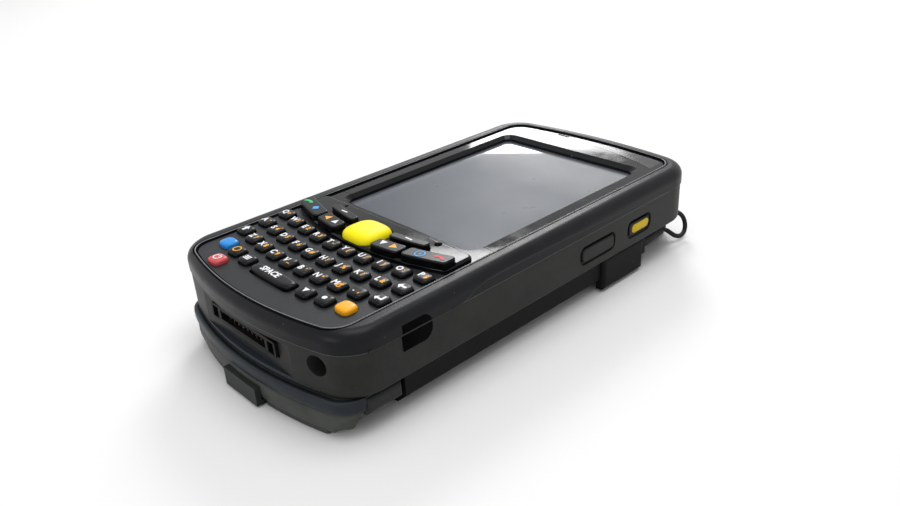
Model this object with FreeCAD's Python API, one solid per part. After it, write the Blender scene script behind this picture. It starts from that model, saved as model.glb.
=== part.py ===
import FreeCAD, Part
import math
import os

os.makedirs("parts", exist_ok=True)

V = FreeCAD.Vector

# Frame: millimetres, +Z up out of the display, +Y to the earpiece end, +X to the right of the face.
# The origin is on the floor under the middle of the casing, and depths are measured down from the face plane.

# How far a cut runs past what it cuts, how far joined solids reach into each other, and a height over all
over = 1.0
weld = 0.5
sky = 60.0

# Casing
face_height = 28.4
casing_half_width = 38.5
casing_low = -73.6
casing_high = 73.5
casing_corner = 11.0
low_end_radius = 112.0
high_end_radius = 200.0
housing_inset = 0.3
housing_wall = 3.0
housing_end_wall = 3.9
housing_floor = 1.6
housing_bottom_depth = 17.2
rim_depth = 5.0
ledge_depth = 6.0
ledge_width = 1.0
housing_corner = 9.0
housing_round = 1.0

# Bumper
bumper_crest = 0.5
bumper_round = 3.2
bumper_step = 1.2
side_rail_low = -28.0
side_rail_high = 44.0
side_rail_depth = 2.6
side_rail_thickness = 1.6

# Face plates
bumper_width = 5.7
face_half_width = casing_half_width - bumper_width
face_low = -71.1
face_high = 68.6
face_corner = 6.0
face_thickness = 2.4
plate_gap = 0.15
seam_y = -15.0
smile_y = -37.9
smile_radius = 90.0
platform_height = 1.2
platform_low_margin = 0.4
platform_top_y = -21.4
platform_margin = 1.2
platform_half_width = face_half_width - platform_margin
platform_round = 0.9
platform_corner = 2.0
mic_x = 19.8
mic_y = -23.1
mic_radius = 0.6

# Display
bezel_side_width = 4.4
window_half_width = face_half_width - bezel_side_width
window_low = -19.4
window_high = 56.5
window_corner = 4.0
window_slope = 1.5
window_slope_high = 2.0
slope_depth = 1.0
lip_depth = 1.6
gasket_thickness = 0.3
glass_thickness = 0.8
glass_margin = 1.8
module_thickness = 3.6
fit_gap = 0.3

# Light bar and earpiece
light_bar_y = 64.2
light_bar_radius = 75.0
light_bar_depth = 1.0
light_bar_margin = 1.0
light_bar_end_margin = 2.8
light_bar_half_width = face_half_width - light_bar_end_margin
earpiece_x = -11.0
earpiece_y = 66.3
earpiece_length = 5.0
earpiece_slot = 0.9
receiver_size = (12.0, 3.2, 2.4)

# Keys
columns = 10
key_edge_margin = 0.7
key_width = 4.8
key_pitch = 2 * (face_half_width - key_edge_margin - key_width / 2) / (columns - 1)
key_arch = 0.004
row_one_y = -40.73
row_step = 6.96
row_four_step = 6.74
row_five_step = 5.96
key_height = 4.3
key_corner = 1.2
key_top = 1.3
key_round = 0.45
key_gap = 0.2
key_travel = 0.6
flange_reach = 0.5
flange_thickness = 0.5
flange_drop = 0.1
space_length = 17.4
band_key_low = 0.75
band_key_high = 5.3
soft_key_low = 7.2
soft_key_high = 10.0
nav_key_top = 2.9
nav_key_inner = 7.6
arrow_key_outer = 17.2
end_key_inner = 18.0
end_key_margin = 1.6
end_key_outer = face_half_width - end_key_margin
soft_key_outer = 20.2
scan_key_y = -31.2
scan_key_width = 12.4
scan_key_height = 11.4
scan_key_top = 3.3
scan_key_corner = 3.2
scan_key_dome = 1.2

# Frame, keypad membrane and board
tray_inset = -0.5
tray_half_width = face_half_width - tray_inset
tray_low = -68.6
tray_high = -21.6
tray_corner = 4.0
tray_wall = 1.0
membrane_thickness = 1.0
membrane_gap = 0.3
board_depth = 7.6
board_thickness = 1.2
board_side_gap = 2.6
board_half_width = casing_half_width - housing_inset - housing_wall - board_side_gap
board_low = -55.0
board_high = 60.0
board_corner = 3.0
post_radius = 2.5
post_inset = 4.6
post_x = board_half_width - post_inset
post_y = 48.0

# Side buttons, pressed towards the middle of the casing
button_width = 3.9
button_depth = 11.4
button_corner = 1.2
button_gap = 0.2
button_round = 0.4
button_flange = 0.7
button_flange_thickness = 0.9
function_button_y = 21.7
function_button_length = 14.4
side_scan_y = 41.9
side_scan_length = 10.0
side_recess_margin = 1.0
side_recess = 0.6
volume_button_y = 18.0
volume_button_length = 20.0

# Cradle pockets in the sides
pocket_low = -52.3
pocket_high = -43.0
pocket_top_depth = 2.5
pocket_bottom_depth = 8.0
pocket_bite = 2.1
pocket_corner = 3.0

# Connector and jack in the low end
recess_half_width = 22.0
recess_top_depth = 6.5
recess_bottom_depth = 15.5
recess_bite = 1.8
recess_corner = 2.0
connector_half_width = 15.0
connector_top_depth = 7.4
connector_bottom_depth = 12.0
connector_proud = 0.9
connector_length = 10.5
connector_corner = 0.8
connector_slot_half = 10.4
connector_slot_height = 2.6
connector_slot_depth = 5.0
connector_latch_x = 12.9
connector_latch_size = (2.6, 3.2)
contact_count = 9
contact_pitch = 2.1
contact_size = (0.8, 3.6, 0.5)
jack_side_margin = 10.5
jack_x = casing_half_width - jack_side_margin
jack_depth = 9.3
jack_face_y = -66.5
jack_radius = 3.0
jack_bore = 1.78
jack_bore_length = 10.0
jack_length = 11.0
jack_gap = 0.05
jack_hole_radius = 2.8

# Rear cover with the scan head
cover_side_inset = 2.5
cover_half_width = casing_half_width - cover_side_inset
cover_low = -51.0
cover_rail_high = 49.0
cover_high = 76.0
cover_depth = 27.6
head_side_inset = 6.0
head_half_width = cover_half_width - head_side_inset
head_corner = 8.0
cover_wall = 1.8
cover_roof = 1.2
roof_low = 60.0
cover_round = 2.4
rail_chamfer = 3.6
catch_low = 26.0
catch_high = 46.0
catch_bite = 1.4
catch_inner_x = cover_half_width - catch_bite
catch_proud = 1.4
catch_outer_x = cover_half_width + catch_proud
catch_round = 1.2
rail_width = 6.9
pocket_half_width = cover_half_width - rail_width
pocket_end_y = 36.0
block_end_y = 47.0
foot_x = 22.0
foot_y = 41.0
foot_radius = 3.0
engine_half_width = 11.0
engine_length = 13.0
exit_half_width = 12.0
exit_top_depth = 19.9
exit_bottom_depth = 24.3
exit_margin = 1.2
exit_thickness = 1.0
screw_inset = 6.0
screw_x = head_half_width - screw_inset
screw_places = ((screw_x, 67.0), (-screw_x, 67.0), (screw_x, 52.0), (-screw_x, 52.0))
screw_head_radius = 1.9
screw_head_height = 1.2
screw_radius = 1.0
screw_gap = 0.05
screw_sink = 0.3
screw_post_radius = 3.2

# Battery
battery_gap = 0.3
battery_depth = 26.2
battery_low = -74.0
battery_end_inset = 3.7
battery_end_half_width = casing_half_width - battery_end_inset
battery_end_depth = 26.9
battery_corner = 7.0
battery_round = 1.6
battery_flat_radius = 4000.0
lip_proud = 0.5
lip_inset = 1.9
lip_half_width = casing_half_width - lip_inset
lip_bottom_depth = 21.0
battery_foot_length = 7.5
battery_foot_inset = 5.8
battery_foot_half_width = battery_end_half_width - battery_foot_inset
battery_foot_corner = 1.2
battery_foot_set_back = 0.3
lobe_depth = 23.4
scoop_y = -66.0
scoop_round = 4.0
latch_y = -58.0
latch_length = 11.0
latch_top_depth = 18.0
latch_bottom_depth = 22.6
latch_proud = 2.5
latch_reach = 2.6
latch_round = 1.4
latch_travel = 1.5
contact_block = (16.0, 5.0, 2.6)
contact_block_y = 28.0
blade_size = (1.2, 3.0, 0.4)
blade_count = 5
blade_pitch = 2.6

# Hand strap
bar_y = 41.0
bar_z = 3.0
bar_radius = 1.1
bar_gap = 0.1
strap_thickness = 1.3
strap_half_width = 13.0
strap_tip_half_width = 7.0
strap_taper_start = -50.0
strap_taper_end = -60.0
strap_end_y = -70.0
strap_room = 0.6
strap_room_end = 3.0
anchor_half_width = 17.0
anchor_reach = 4.0
anchor_top_gap = 0.4
clip_half_width = 7.5
clip_face_y = -76.0
clip_thickness = 1.6
clip_top = 5.8

# Stylus and its tether
stylus_edge_margin = 3.7
stylus_x = cover_half_width - stylus_edge_margin
stylus_depth = 22.9
stylus_radius = 1.85
stylus_bore_gap = 0.1
stylus_low = -45.0
stylus_silo_low = -46.0
stylus_tip_length = 9.0
stylus_tip_radius = 0.7
stylus_head_radius = 2.1
stylus_head_length = 2.2
ferrule_length = 12.0
ferrule_big_radius = 1.9
ferrule_small_radius = 1.2
tether_radius = 0.75
tether_boss_margin = 4.1
tether_boss_x = cover_half_width - tether_boss_margin
tether_boss_depth = 18.7
tether_boss_radius = 1.6
tether_boss_low = 55.6
tether_boss_high = 61.2
tether_route = (
    (31.9, 61.2, 9.7),
    (31.9, 64.2, 9.7),
    (32.0, 67.4, 10.0),
    (32.3, 70.6, 9.9),
    (32.9, 73.3, 8.7),
    (33.7, 74.8, 6.6),
    (34.5, 74.9, 4.2),
    (35.1, 73.5, 2.3),
    (35.2, 71.2, 1.6),
    (34.8, 69.0, 2.2),
    (34.0, 67.3, 3.6),
    (33.0, 66.1, 4.9),
    (32.3, 64.9, 5.5),
    (32.3, 63.3, 5.5),
)

# Inside the casing
radio_size = (22.0, 18.0, 2.2)
radio_place = (-14.0, 28.0)
radio_corner = 1.0
speaker_radius = 8.0
speaker_height = 4.0
speaker_place = (18.0, 66.0)
speaker_y = 38.0


def up(depth):
    """Height above the floor of a depth below the face."""
    return face_height - depth


def box(x0, x1, y0, y1, z0, z1):
    return Part.makeBox(x1 - x0, y1 - y0, z1 - z0, V(x0, y0, z0))


def vertical(shape):
    found = []
    for edge in shape.Edges:
        a = edge.firstVertex().Point
        b = edge.lastVertex().Point
        if abs(a.x - b.x) < 1e-6 and abs(a.y - b.y) < 1e-6 and abs(a.z - b.z) > 1e-6:
            found.append(edge)
    return found


def level(shape, z):
    """Edges that lie at one height."""
    return [e for e in shape.Edges if abs(e.BoundBox.ZMin - z) < 1e-5 and abs(e.BoundBox.ZMax - z) < 1e-5]


def rounded_box(x0, x1, y0, y1, z0, z1, corner):
    block = box(x0, x1, y0, y1, z0, z1)
    return block.makeFillet(corner, vertical(block))


def bowed(half_width, low, high, low_radius, high_radius, corner, z0, z1):
    """A slab whose two ends bulge as arcs, with rounded corners."""
    slab = box(-half_width, half_width, low, high, z0, z1)
    low_disc = Part.makeCylinder(low_radius, z1 - z0, V(0, low + low_radius, z0))
    high_disc = Part.makeCylinder(high_radius, z1 - z0, V(0, high - high_radius, z0))
    slab = slab.common(low_disc).common(high_disc)
    return slab.makeFillet(corner, vertical(slab))


def casing(inset, z0, z1):
    return bowed(casing_half_width - inset, casing_low + inset, casing_high - inset,
                 low_end_radius - inset, high_end_radius - inset, casing_corner - inset, z0, z1)


def face_plan(inset, z0, z1):
    return bowed(face_half_width - inset, face_low + inset, face_high - inset,
                 low_end_radius - inset, high_end_radius - inset, face_corner - inset, z0, z1)


def cavity(half_width, z0, z1):
    return bowed(half_width, casing_low + housing_end_wall, casing_high - housing_wall,
                 low_end_radius, high_end_radius, housing_corner, z0, z1)


def smile_disc(offset, z0, z1):
    """Everything above the seam arc between the keypad plate and the navigation panel."""
    radius = smile_radius - offset
    return Part.makeCylinder(radius, z1 - z0, V(0, smile_y + smile_radius, z0))


def both_sides(shape):
    return [shape, shape.mirror(V(0, 0, 0), V(1, 0, 0))]


def solid_of(shapes):
    return Part.makeCompound(shapes)


def write(node, shape):
    shape.exportStep("parts/" + node + ".step")
    print(node, len(shape.Solids), round(shape.Volume, 2))


# Key plans

def arched(x):
    return key_arch * x * x


def key_places():
    """Columns of letter keys, then the loose keys of the last two rows, as (x, y, length)."""
    letter_columns = []
    for column in range(columns):
        x = (column - (columns - 1) / 2) * key_pitch
        places = [(x, row_one_y - row * row_step + arched(x), key_width) for row in range(3)]
        letter_columns.append(places)
    fourth = row_one_y - 2 * row_step - row_four_step
    loose = {
        "blue_key": (-4.0 * key_pitch, key_width),
        "symbol_key": (-3.0 * key_pitch, key_width),
        "menu_key": (-2.0 * key_pitch, key_width),
        "space_key": (0.0, space_length),
        "view_key": (2.0 * key_pitch, key_width),
        "record_key": (3.0 * key_pitch, key_width),
        "orange_key": (4.0 * key_pitch, key_width),
    }
    loose = {name: (x, fourth + arched(x), length) for name, (x, length) in loose.items()}
    power_x = -3.0 * key_pitch
    loose["power_key"] = (power_x, fourth - row_five_step + arched(power_x), key_width)
    return letter_columns, loose


letter_columns, loose_keys = key_places()
key_bottom = up(face_thickness + flange_drop + flange_thickness)
flange_top = up(face_thickness + flange_drop)


def plain_key(place):
    x, y, length = place
    half = length / 2
    top = up(-key_top)
    cap = rounded_box(x - half, x + half, y - key_height / 2, y + key_height / 2, key_bottom, top, key_corner)
    cap = cap.makeFillet(key_round, level(cap, top))
    reach = key_height / 2 + flange_reach
    flange = box(x - half + key_corner, x + half - key_corner, y - reach, y + reach, key_bottom, flange_top)
    return cap.fuse(flange)


def plain_hole(place, z0, z1):
    x, y, length = place
    half = length / 2 + key_gap
    tall = key_height / 2 + key_gap
    return rounded_box(x - half, x + half, y - tall, y + tall, z0, z1, key_corner + key_gap)


def band(x0, x1, low, high, z0, z1, corner):
    """A key plan that follows the seam arc between two distances from it."""
    blank = box(x0, x1, smile_y - smile_radius, 0, z0, z1)
    blank = blank.common(smile_disc(low, z0, z1)).cut(smile_disc(high, z0, z1))
    return blank.makeFillet(corner, vertical(blank))


band_keys = {
    "arrow_key": (nav_key_inner, arrow_key_outer, band_key_low, band_key_high),
    "call_key": (end_key_inner, end_key_outer, band_key_low, band_key_high),
    "soft_key": (nav_key_inner, soft_key_outer, soft_key_low, soft_key_high),
}


def band_key(x0, x1, low, high):
    top = up(-nav_key_top)
    cap = band(x0, x1, low, high, key_bottom, top, key_corner)
    cap = cap.makeFillet(key_round, level(cap, top))
    flange = band(x0 + key_corner, x1 - key_corner, low - flange_reach, high + flange_reach,
                  key_bottom, flange_top, key_round)
    return cap.fuse(flange)


def band_hole(x0, x1, low, high, z0, z1):
    return band(x0 - key_gap, x1 + key_gap, low - key_gap, high + key_gap, z0, z1, key_corner + key_gap)


def scan_key_solid():
    half = scan_key_width / 2
    tall = scan_key_height / 2
    top = up(-scan_key_top)
    cap = rounded_box(-half, half, scan_key_y - tall, scan_key_y + tall, key_bottom, top, scan_key_corner)
    cap = cap.makeFillet(scan_key_dome, level(cap, top))
    reach = tall + flange_reach / 2
    flange = box(-half + scan_key_corner, half - scan_key_corner, scan_key_y - reach, scan_key_y + reach,
                 key_bottom, flange_top)
    return cap.fuse(flange)


# Face

face_bottom = up(face_thickness)
face_top = up(0)


def window_cut():
    """The display opening: sloped sides, a lip, and a pocket under the lip for gasket and glass."""
    inner_half = window_half_width - window_slope
    low = window_low + window_slope
    high = window_high - window_slope_high
    outlines = []
    for half, y0, y1, corner, depth in ((window_half_width, window_low, window_high, window_corner, 0),
                                        (inner_half, low, high, window_corner - window_slope, slope_depth)):
        z = up(depth)
        frame = rounded_box(-half, half, y0, y1, z - over, z, corner)
        outlines.append(max(frame.Faces, key=lambda f: f.CenterOfMass.z).OuterWire)
    slope = Part.makeLoft(outlines, True, True)
    through = rounded_box(-inner_half, inner_half, low, high, up(lip_depth + over), up(slope_depth),
                          window_corner - window_slope)
    pocket = box(-inner_half - glass_margin - fit_gap, inner_half + glass_margin + fit_gap,
                 low - glass_margin - fit_gap, high + glass_margin + fit_gap,
                 face_bottom - over, up(lip_depth))
    return slope.fuse(through).fuse(pocket)


def light_bar_plan(inset, z0, z1):
    disc = Part.makeCylinder(light_bar_radius + inset, z1 - z0, V(0, light_bar_y - light_bar_radius, z0))
    zone = box(-light_bar_half_width, light_bar_half_width, 0, casing_high, z0, z1)
    return face_plan(light_bar_margin + inset, z0, z1).cut(disc).common(zone)


def earpiece_cut(z0, z1):
    half = earpiece_length / 2
    return rounded_box(earpiece_x - half, earpiece_x + half, earpiece_y - earpiece_slot / 2,
                       earpiece_y + earpiece_slot / 2, z0, z1, earpiece_slot / 2 - 0.01)


def face_parts():
    plate = face_plan(plate_gap, face_bottom, face_top)
    opening = window_cut()
    upper = box(-casing_half_width, casing_half_width, seam_y + plate_gap / 2, casing_high, 0, sky)
    middle = box(-casing_half_width, casing_half_width, casing_low, seam_y - plate_gap / 2, 0, sky)
    smile = smile_disc(plate_gap / 2, 0, sky)
    bezel = plate.common(upper).cut(opening)
    bezel = bezel.cut(light_bar_plan(0, up(light_bar_depth), up(-1)))
    bezel = bezel.cut(earpiece_cut(0, sky))
    light_bar = light_bar_plan(plate_gap, up(light_bar_depth), face_top).cut(earpiece_cut(0, sky))

    panel = plate.common(middle).common(smile).cut(opening)
    top = up(-platform_height)
    platform = box(-platform_half_width, platform_half_width, smile_y, platform_top_y, face_top - weld, top)
    platform = platform.common(smile_disc(platform_low_margin, 0, sky))
    platform = platform.makeFillet(platform_corner, vertical(platform))
    platform = platform.makeFillet(platform_round, level(platform, top))
    panel = panel.fuse(platform)
    for plan in band_keys.values():
        for hole in both_sides(band_hole(*plan, 0, sky)):
            panel = panel.cut(hole)
    half = scan_key_width / 2 + key_gap
    tall = scan_key_height / 2 + key_gap
    panel = panel.cut(rounded_box(-half, half, scan_key_y - tall, scan_key_y + tall, 0, sky,
                                  scan_key_corner + key_gap))
    for side in (-1, 1):
        panel = panel.cut(Part.makeCylinder(mic_radius, sky, V(side * mic_x, mic_y, 0)))

    keypad = plate.common(middle).cut(smile_disc(-plate_gap / 2, 0, sky))
    holes = [plain_hole(place, 0, sky) for places in letter_columns for place in places]
    holes += [plain_hole(place, 0, sky) for place in loose_keys.values()]
    keypad = keypad.cut(holes)
    write("display_bezel", bezel)
    write("light_bar", light_bar)
    write("nav_panel", panel)
    write("keypad_plate", keypad)


def display_parts():
    inner_half = window_half_width - window_slope
    low = window_low + window_slope
    high = window_high - window_slope_high
    x = inner_half + glass_margin
    y0 = low - glass_margin
    y1 = high + glass_margin
    gasket_bottom = up(lip_depth + gasket_thickness)
    glass_bottom = gasket_bottom - glass_thickness
    module_bottom = glass_bottom - module_thickness
    gasket = box(-x, x, y0, y1, gasket_bottom, up(lip_depth))
    gasket = gasket.cut(box(-inner_half, inner_half, low, high, 0, sky))
    write("display_gasket", gasket)
    write("touch_panel", box(-x, x, y0, y1, glass_bottom, gasket_bottom))
    write("display_module", box(-x, x, y0, y1, module_bottom, glass_bottom))
    return x + fit_gap, y0 - fit_gap, y1 + fit_gap


def frame_parts(room):
    x, y0, y1 = room
    upper = face_plan(plate_gap - bumper_step, up(rim_depth), face_bottom)
    flange = cavity(casing_half_width - housing_inset - housing_wall + ledge_width - plate_gap,
                    up(ledge_depth), up(rim_depth))
    frame = upper.fuse(flange)
    frame = frame.cut(box(-x, x, y0, y1, 0, sky))
    membrane_top = key_bottom - key_travel - membrane_gap
    membrane_bottom = membrane_top - membrane_thickness
    tray = rounded_box(-tray_half_width, tray_half_width, tray_low, y0 - tray_wall, membrane_bottom, sky, tray_corner)
    frame = frame.cut(tray.common(face_plan(tray_inset, 0, sky)))
    length, wide, tall = receiver_size
    slot = box(earpiece_x - length / 2, earpiece_x + length / 2, earpiece_y - wide / 2, earpiece_y + wide / 2,
               face_bottom - tall, face_bottom)
    frame = frame.cut(slot)
    membrane = rounded_box(-tray_half_width + fit_gap, tray_half_width - fit_gap, tray_low + fit_gap,
                           y0 - tray_wall - fit_gap, membrane_bottom, membrane_top, tray_corner)
    membrane = membrane.common(face_plan(tray_inset + fit_gap, 0, sky))
    write("mid_frame", frame)
    write("receiver", slot)
    write("keypad_membrane", membrane)


def side_rail(grow, z0, z1):
    """The strip of the housing that rises beside the bumper along each flank."""
    ring = casing(housing_inset - grow, z0, z1).cut(casing(side_rail_thickness + grow, z0, z1))
    reach = casing_half_width + over
    zone = box(-reach, reach, side_rail_low - grow, side_rail_high + grow, z0, z1)
    inner = casing_half_width - casing_corner
    return ring.common(zone).cut(box(-inner, inner, casing_low, casing_high, z0, z1))


def cradle_pockets():
    reach = casing_half_width - pocket_bite
    pocket = box(reach, casing_half_width + over, pocket_low, pocket_high,
                 up(pocket_bottom_depth), up(pocket_top_depth))
    corner = [e for e in pocket.Edges if e.BoundBox.XLength > pocket_bite and e.BoundBox.YMin > pocket_high - 1e-5
              and e.BoundBox.ZMin > up(pocket_top_depth) - 1e-5]
    return both_sides(pocket.makeFillet(pocket_corner, corner))


def bumper_part():
    top = up(-bumper_crest)
    ring = casing(0, up(rim_depth), top)
    ring = ring.makeFillet(bumper_round, level(ring, top))
    ring = ring.cut(face_plan(0, 0, sky))
    ring = ring.cut(face_plan(-bumper_step, 0, face_bottom))
    ring = ring.cut(side_rail(plate_gap, 0, up(side_rail_depth) + plate_gap))
    for pocket in cradle_pockets():
        ring = ring.cut(pocket)
    write("bumper_frame", ring)


# Housing

def button_cut(side, y, length, grow, x0, x1):
    """A round-ended block along a flank, from x0 to x1 on the given side."""
    half = length / 2 + grow
    tall = button_width / 2 + grow
    z = up(button_depth)
    block = box(x0, x1, y - half, y + half, z - tall, z + tall)
    ends = [e for e in block.Edges if e.BoundBox.YLength < 1e-6 and e.BoundBox.ZLength < 1e-6]
    block = block.makeFillet(button_corner + grow, ends)
    if side < 0:
        block = block.mirror(V(0, 0, 0), V(1, 0, 0))
    return block


side_buttons = {
    "function_button": (1, function_button_y, function_button_length),
    "scan_button_right": (1, side_scan_y, side_scan_length),
    "scan_button_left": (-1, side_scan_y, side_scan_length),
    "volume_button": (-1, volume_button_y, volume_button_length),
}
wall_outer = casing_half_width - housing_inset
wall_inner = wall_outer - housing_wall


def housing_part():
    bottom = up(housing_bottom_depth)
    floor_top = bottom + housing_floor
    shell = casing(housing_inset, bottom, up(rim_depth))
    shell = shell.makeFillet(housing_round, level(shell, bottom))
    shell = shell.fuse(side_rail(0, up(rim_depth) - weld, up(side_rail_depth)))
    shell = shell.cut(cavity(wall_inner + ledge_width, up(ledge_depth), sky))
    shell = shell.cut(cavity(wall_inner, floor_top, up(ledge_depth) + weld))
    for x in (-post_x, post_x):
        for y in (-post_y, post_y):
            top = up(board_depth + board_thickness)
            root = floor_top - weld
            shell = shell.fuse(Part.makeCylinder(post_radius, top - root, V(x, y, root)))
    for side, y, length in side_buttons.values():
        shell = shell.cut(button_cut(side, y, length, button_gap, wall_inner - over, wall_outer + over))
        shell = shell.cut(button_cut(side, y, length, side_recess_margin,
                                     wall_outer - side_recess, wall_outer + over))
    for pocket in cradle_pockets():
        shell = shell.cut(pocket)
    recess_floor = casing_low + housing_inset + recess_bite
    shell = shell.cut(rounded_end_box(recess_half_width, casing_low - over, recess_floor,
                                      up(recess_bottom_depth), up(recess_top_depth), recess_corner))
    shell = shell.cut(box(-connector_half_width - plate_gap, connector_half_width + plate_gap,
                          casing_low - over, casing_low + connector_length,
                          up(connector_bottom_depth) - plate_gap, up(connector_top_depth) + plate_gap))
    shell = shell.cut(along_y(jack_hole_radius, jack_x, casing_low - over, jack_face_y, up(jack_depth)))
    shell = shell.cut(along_y(jack_radius + jack_gap, jack_x, jack_face_y, jack_face_y + jack_length,
                              up(jack_depth)))
    wide, deep, tall = contact_block
    shell = shell.cut(box(-wide / 2, wide / 2, contact_block_y - deep / 2, contact_block_y + deep / 2,
                          bottom - over, floor_top + over))
    for x, y in screw_places:
        shell = shell.cut(Part.makeCylinder(screw_radius + screw_gap, sky, V(x, y, bottom - over)))
    boss = along_y(tether_boss_radius, tether_boss_x, tether_boss_low, tether_boss_high, up(tether_boss_depth))
    neck = box(tether_boss_x - tether_boss_radius, tether_boss_x + tether_boss_radius, tether_boss_low,
               tether_boss_high, up(tether_boss_depth), bottom + weld)
    shell = shell.fuse(boss.fuse(neck))
    write("rear_housing", shell)


def rounded_end_box(half_width, y0, y1, z0, z1, corner):
    """A block with its four long edges along Y rounded."""
    block = box(-half_width, half_width, y0, y1, z0, z1)
    edges = [e for e in block.Edges if e.BoundBox.XLength < 1e-6 and e.BoundBox.ZLength < 1e-6]
    return block.makeFillet(corner, edges)


def along_y(radius, x, y0, y1, z):
    return Part.makeCylinder(radius, y1 - y0, V(x, y0, z), V(0, 1, 0))


def button_parts():
    for name, (side, y, length) in side_buttons.items():
        face_x = casing_half_width
        if "scan" in name:
            face_x = wall_outer
        stem = button_cut(side, y, length, 0, wall_inner - plate_gap - weld, face_x)
        outer = side * face_x
        rim = [e for e in stem.Edges if abs(e.BoundBox.XMin - outer) < 1e-5 and abs(e.BoundBox.XMax - outer) < 1e-5]
        stem = stem.makeFillet(button_round, rim)
        inner = wall_inner - plate_gap
        flange = button_cut(side, y, length, button_flange, inner - button_flange_thickness, inner)
        write(name, stem.fuse(flange))


def board_parts():
    top = up(board_depth)
    board = rounded_box(-board_half_width, board_half_width, board_low, board_high, top - board_thickness, top,
                        board_corner)
    wide, deep, tall = radio_size
    x, y = radio_place
    under = top - board_thickness
    can = rounded_box(x - wide / 2, x + wide / 2, y - deep / 2, y + deep / 2, under - tall, under + weld, radio_corner)
    write("main_board", board.fuse(can))
    floor_top = up(housing_bottom_depth) + housing_floor
    write("speaker", Part.makeCylinder(speaker_radius, speaker_height, V(speaker_place[0], speaker_y, floor_top)))


def connector_parts():
    face_y = casing_low + housing_inset + recess_bite - connector_proud
    middle = (up(connector_top_depth) + up(connector_bottom_depth)) / 2
    body = rounded_end_box(connector_half_width, face_y, face_y + connector_length,
                           up(connector_bottom_depth), up(connector_top_depth), connector_corner)
    half_slot = connector_slot_height / 2
    body = body.cut(box(-connector_slot_half, connector_slot_half, face_y - over, face_y + connector_slot_depth,
                        middle - half_slot, middle + half_slot))
    wide, tall = connector_latch_size
    for side in (-1, 1):
        x = side * connector_latch_x
        body = body.cut(box(x - wide / 2, x + wide / 2, face_y - over, face_y + connector_slot_depth,
                            middle - tall / 2, middle + tall / 2))
    wide, deep, tall = contact_size
    contacts = []
    for index in range(contact_count):
        x = (index - (contact_count - 1) / 2) * contact_pitch
        y1 = face_y + connector_slot_depth
        contacts.append(box(x - wide / 2, x + wide / 2, y1 - deep, y1, middle - half_slot, middle - half_slot + tall))
    write("io_connector", body)
    write("io_contacts", solid_of(contacts))
    jack = along_y(jack_radius, jack_x, jack_face_y, jack_face_y + jack_length, up(jack_depth))
    jack = jack.cut(along_y(jack_bore, jack_x, jack_face_y - 1, jack_face_y + jack_bore_length, up(jack_depth)))
    write("headset_jack", jack)


def block_edges_along_y(shape):
    return [e for e in shape.Edges if e.BoundBox.XLength < 1e-6 and e.BoundBox.ZLength < 1e-6]


def cover_parts():
    top = up(housing_bottom_depth)
    bottom = up(cover_depth)
    rails = box(-cover_half_width, cover_half_width, cover_low, cover_rail_high, bottom, top)
    rails = rails.makeChamfer(rail_chamfer, [e for e in block_edges_along_y(rails) if e.BoundBox.ZMax < bottom + over])
    head = box(-head_half_width, head_half_width, pocket_end_y, cover_high, bottom, top)
    head = head.makeFillet(head_corner, [e for e in vertical(head) if e.BoundBox.YMin > cover_rail_high])
    rim = [e for e in level(head, bottom) if e.BoundBox.YMax > pocket_end_y + over]
    head = head.makeFillet(cover_round, rim)
    catch = box(catch_inner_x, catch_outer_x, catch_low, catch_high, bottom, top)
    catch = catch.makeFillet(catch_round, [e for e in catch.Edges if e.BoundBox.XMin > catch_outer_x - 1e-5])
    cover = rails.fuse(head).fuse(catch)
    cover = cover.cut(box(-pocket_half_width, pocket_half_width, cover_low - over, pocket_end_y, bottom - over,
                          top + over))
    inner = head_half_width - cover_wall
    hollow = rounded_box(-inner, inner, block_end_y, cover_high - cover_wall, bottom + cover_wall,
                         top - cover_roof, head_corner - cover_wall)
    cover = cover.cut(hollow)
    cover = cover.cut(box(-inner, inner, block_end_y, roof_low, bottom + cover_wall, top + over))
    recess_top = bar_z + bar_radius + bar_gap + strap_thickness + anchor_top_gap
    cover = cover.cut(box(-anchor_half_width, anchor_half_width, pocket_end_y - over, bar_y + anchor_reach,
                          bottom - over, recess_top))
    for side in (-1, 1):
        cover = cover.fuse(Part.makeCylinder(foot_radius, bottom + 0.5, V(side * foot_x, foot_y, 0)))
    for x, y in screw_places:
        cover = cover.fuse(Part.makeCylinder(screw_post_radius, top - bottom - weld, V(x, y, bottom + weld)))
        cover = cover.cut(Part.makeCylinder(screw_radius + screw_gap, sky, V(x, y, bottom - over)))
        cover = cover.cut(Part.makeCylinder(screw_head_radius + fit_gap, screw_head_height + screw_sink + over,
                                            V(x, y, bottom - over)))
    cover = cover.cut(box(-exit_half_width, exit_half_width, cover_high - head_corner, cover_high + over,
                          up(exit_bottom_depth), up(exit_top_depth)))
    bore = stylus_radius + stylus_bore_gap
    cover = cover.cut(along_y(bore, stylus_x, stylus_silo_low, cover_rail_high + over, up(stylus_depth)))
    write("rear_cover", cover)

    glass_front = cover_high - cover_wall
    plate = box(-exit_half_width - exit_margin, exit_half_width + exit_margin, glass_front - exit_thickness,
                glass_front, up(exit_bottom_depth) - exit_margin, up(exit_top_depth) + exit_margin)
    write("exit_window", plate)
    engine_front = glass_front - exit_thickness - fit_gap
    write("scan_engine", box(-engine_half_width, engine_half_width, engine_front - engine_length, engine_front,
                             bottom + cover_wall, top - cover_roof - fit_gap))
    screws = []
    for x, y in screw_places:
        seat = bottom + screw_sink
        head = Part.makeCylinder(screw_head_radius, screw_head_height, V(x, y, seat))
        shank = Part.makeCylinder(screw_radius, top + housing_floor - seat, V(x, y, seat))
        screws.append(head.fuse(shank))
    write("cover_screws", solid_of(screws))


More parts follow.
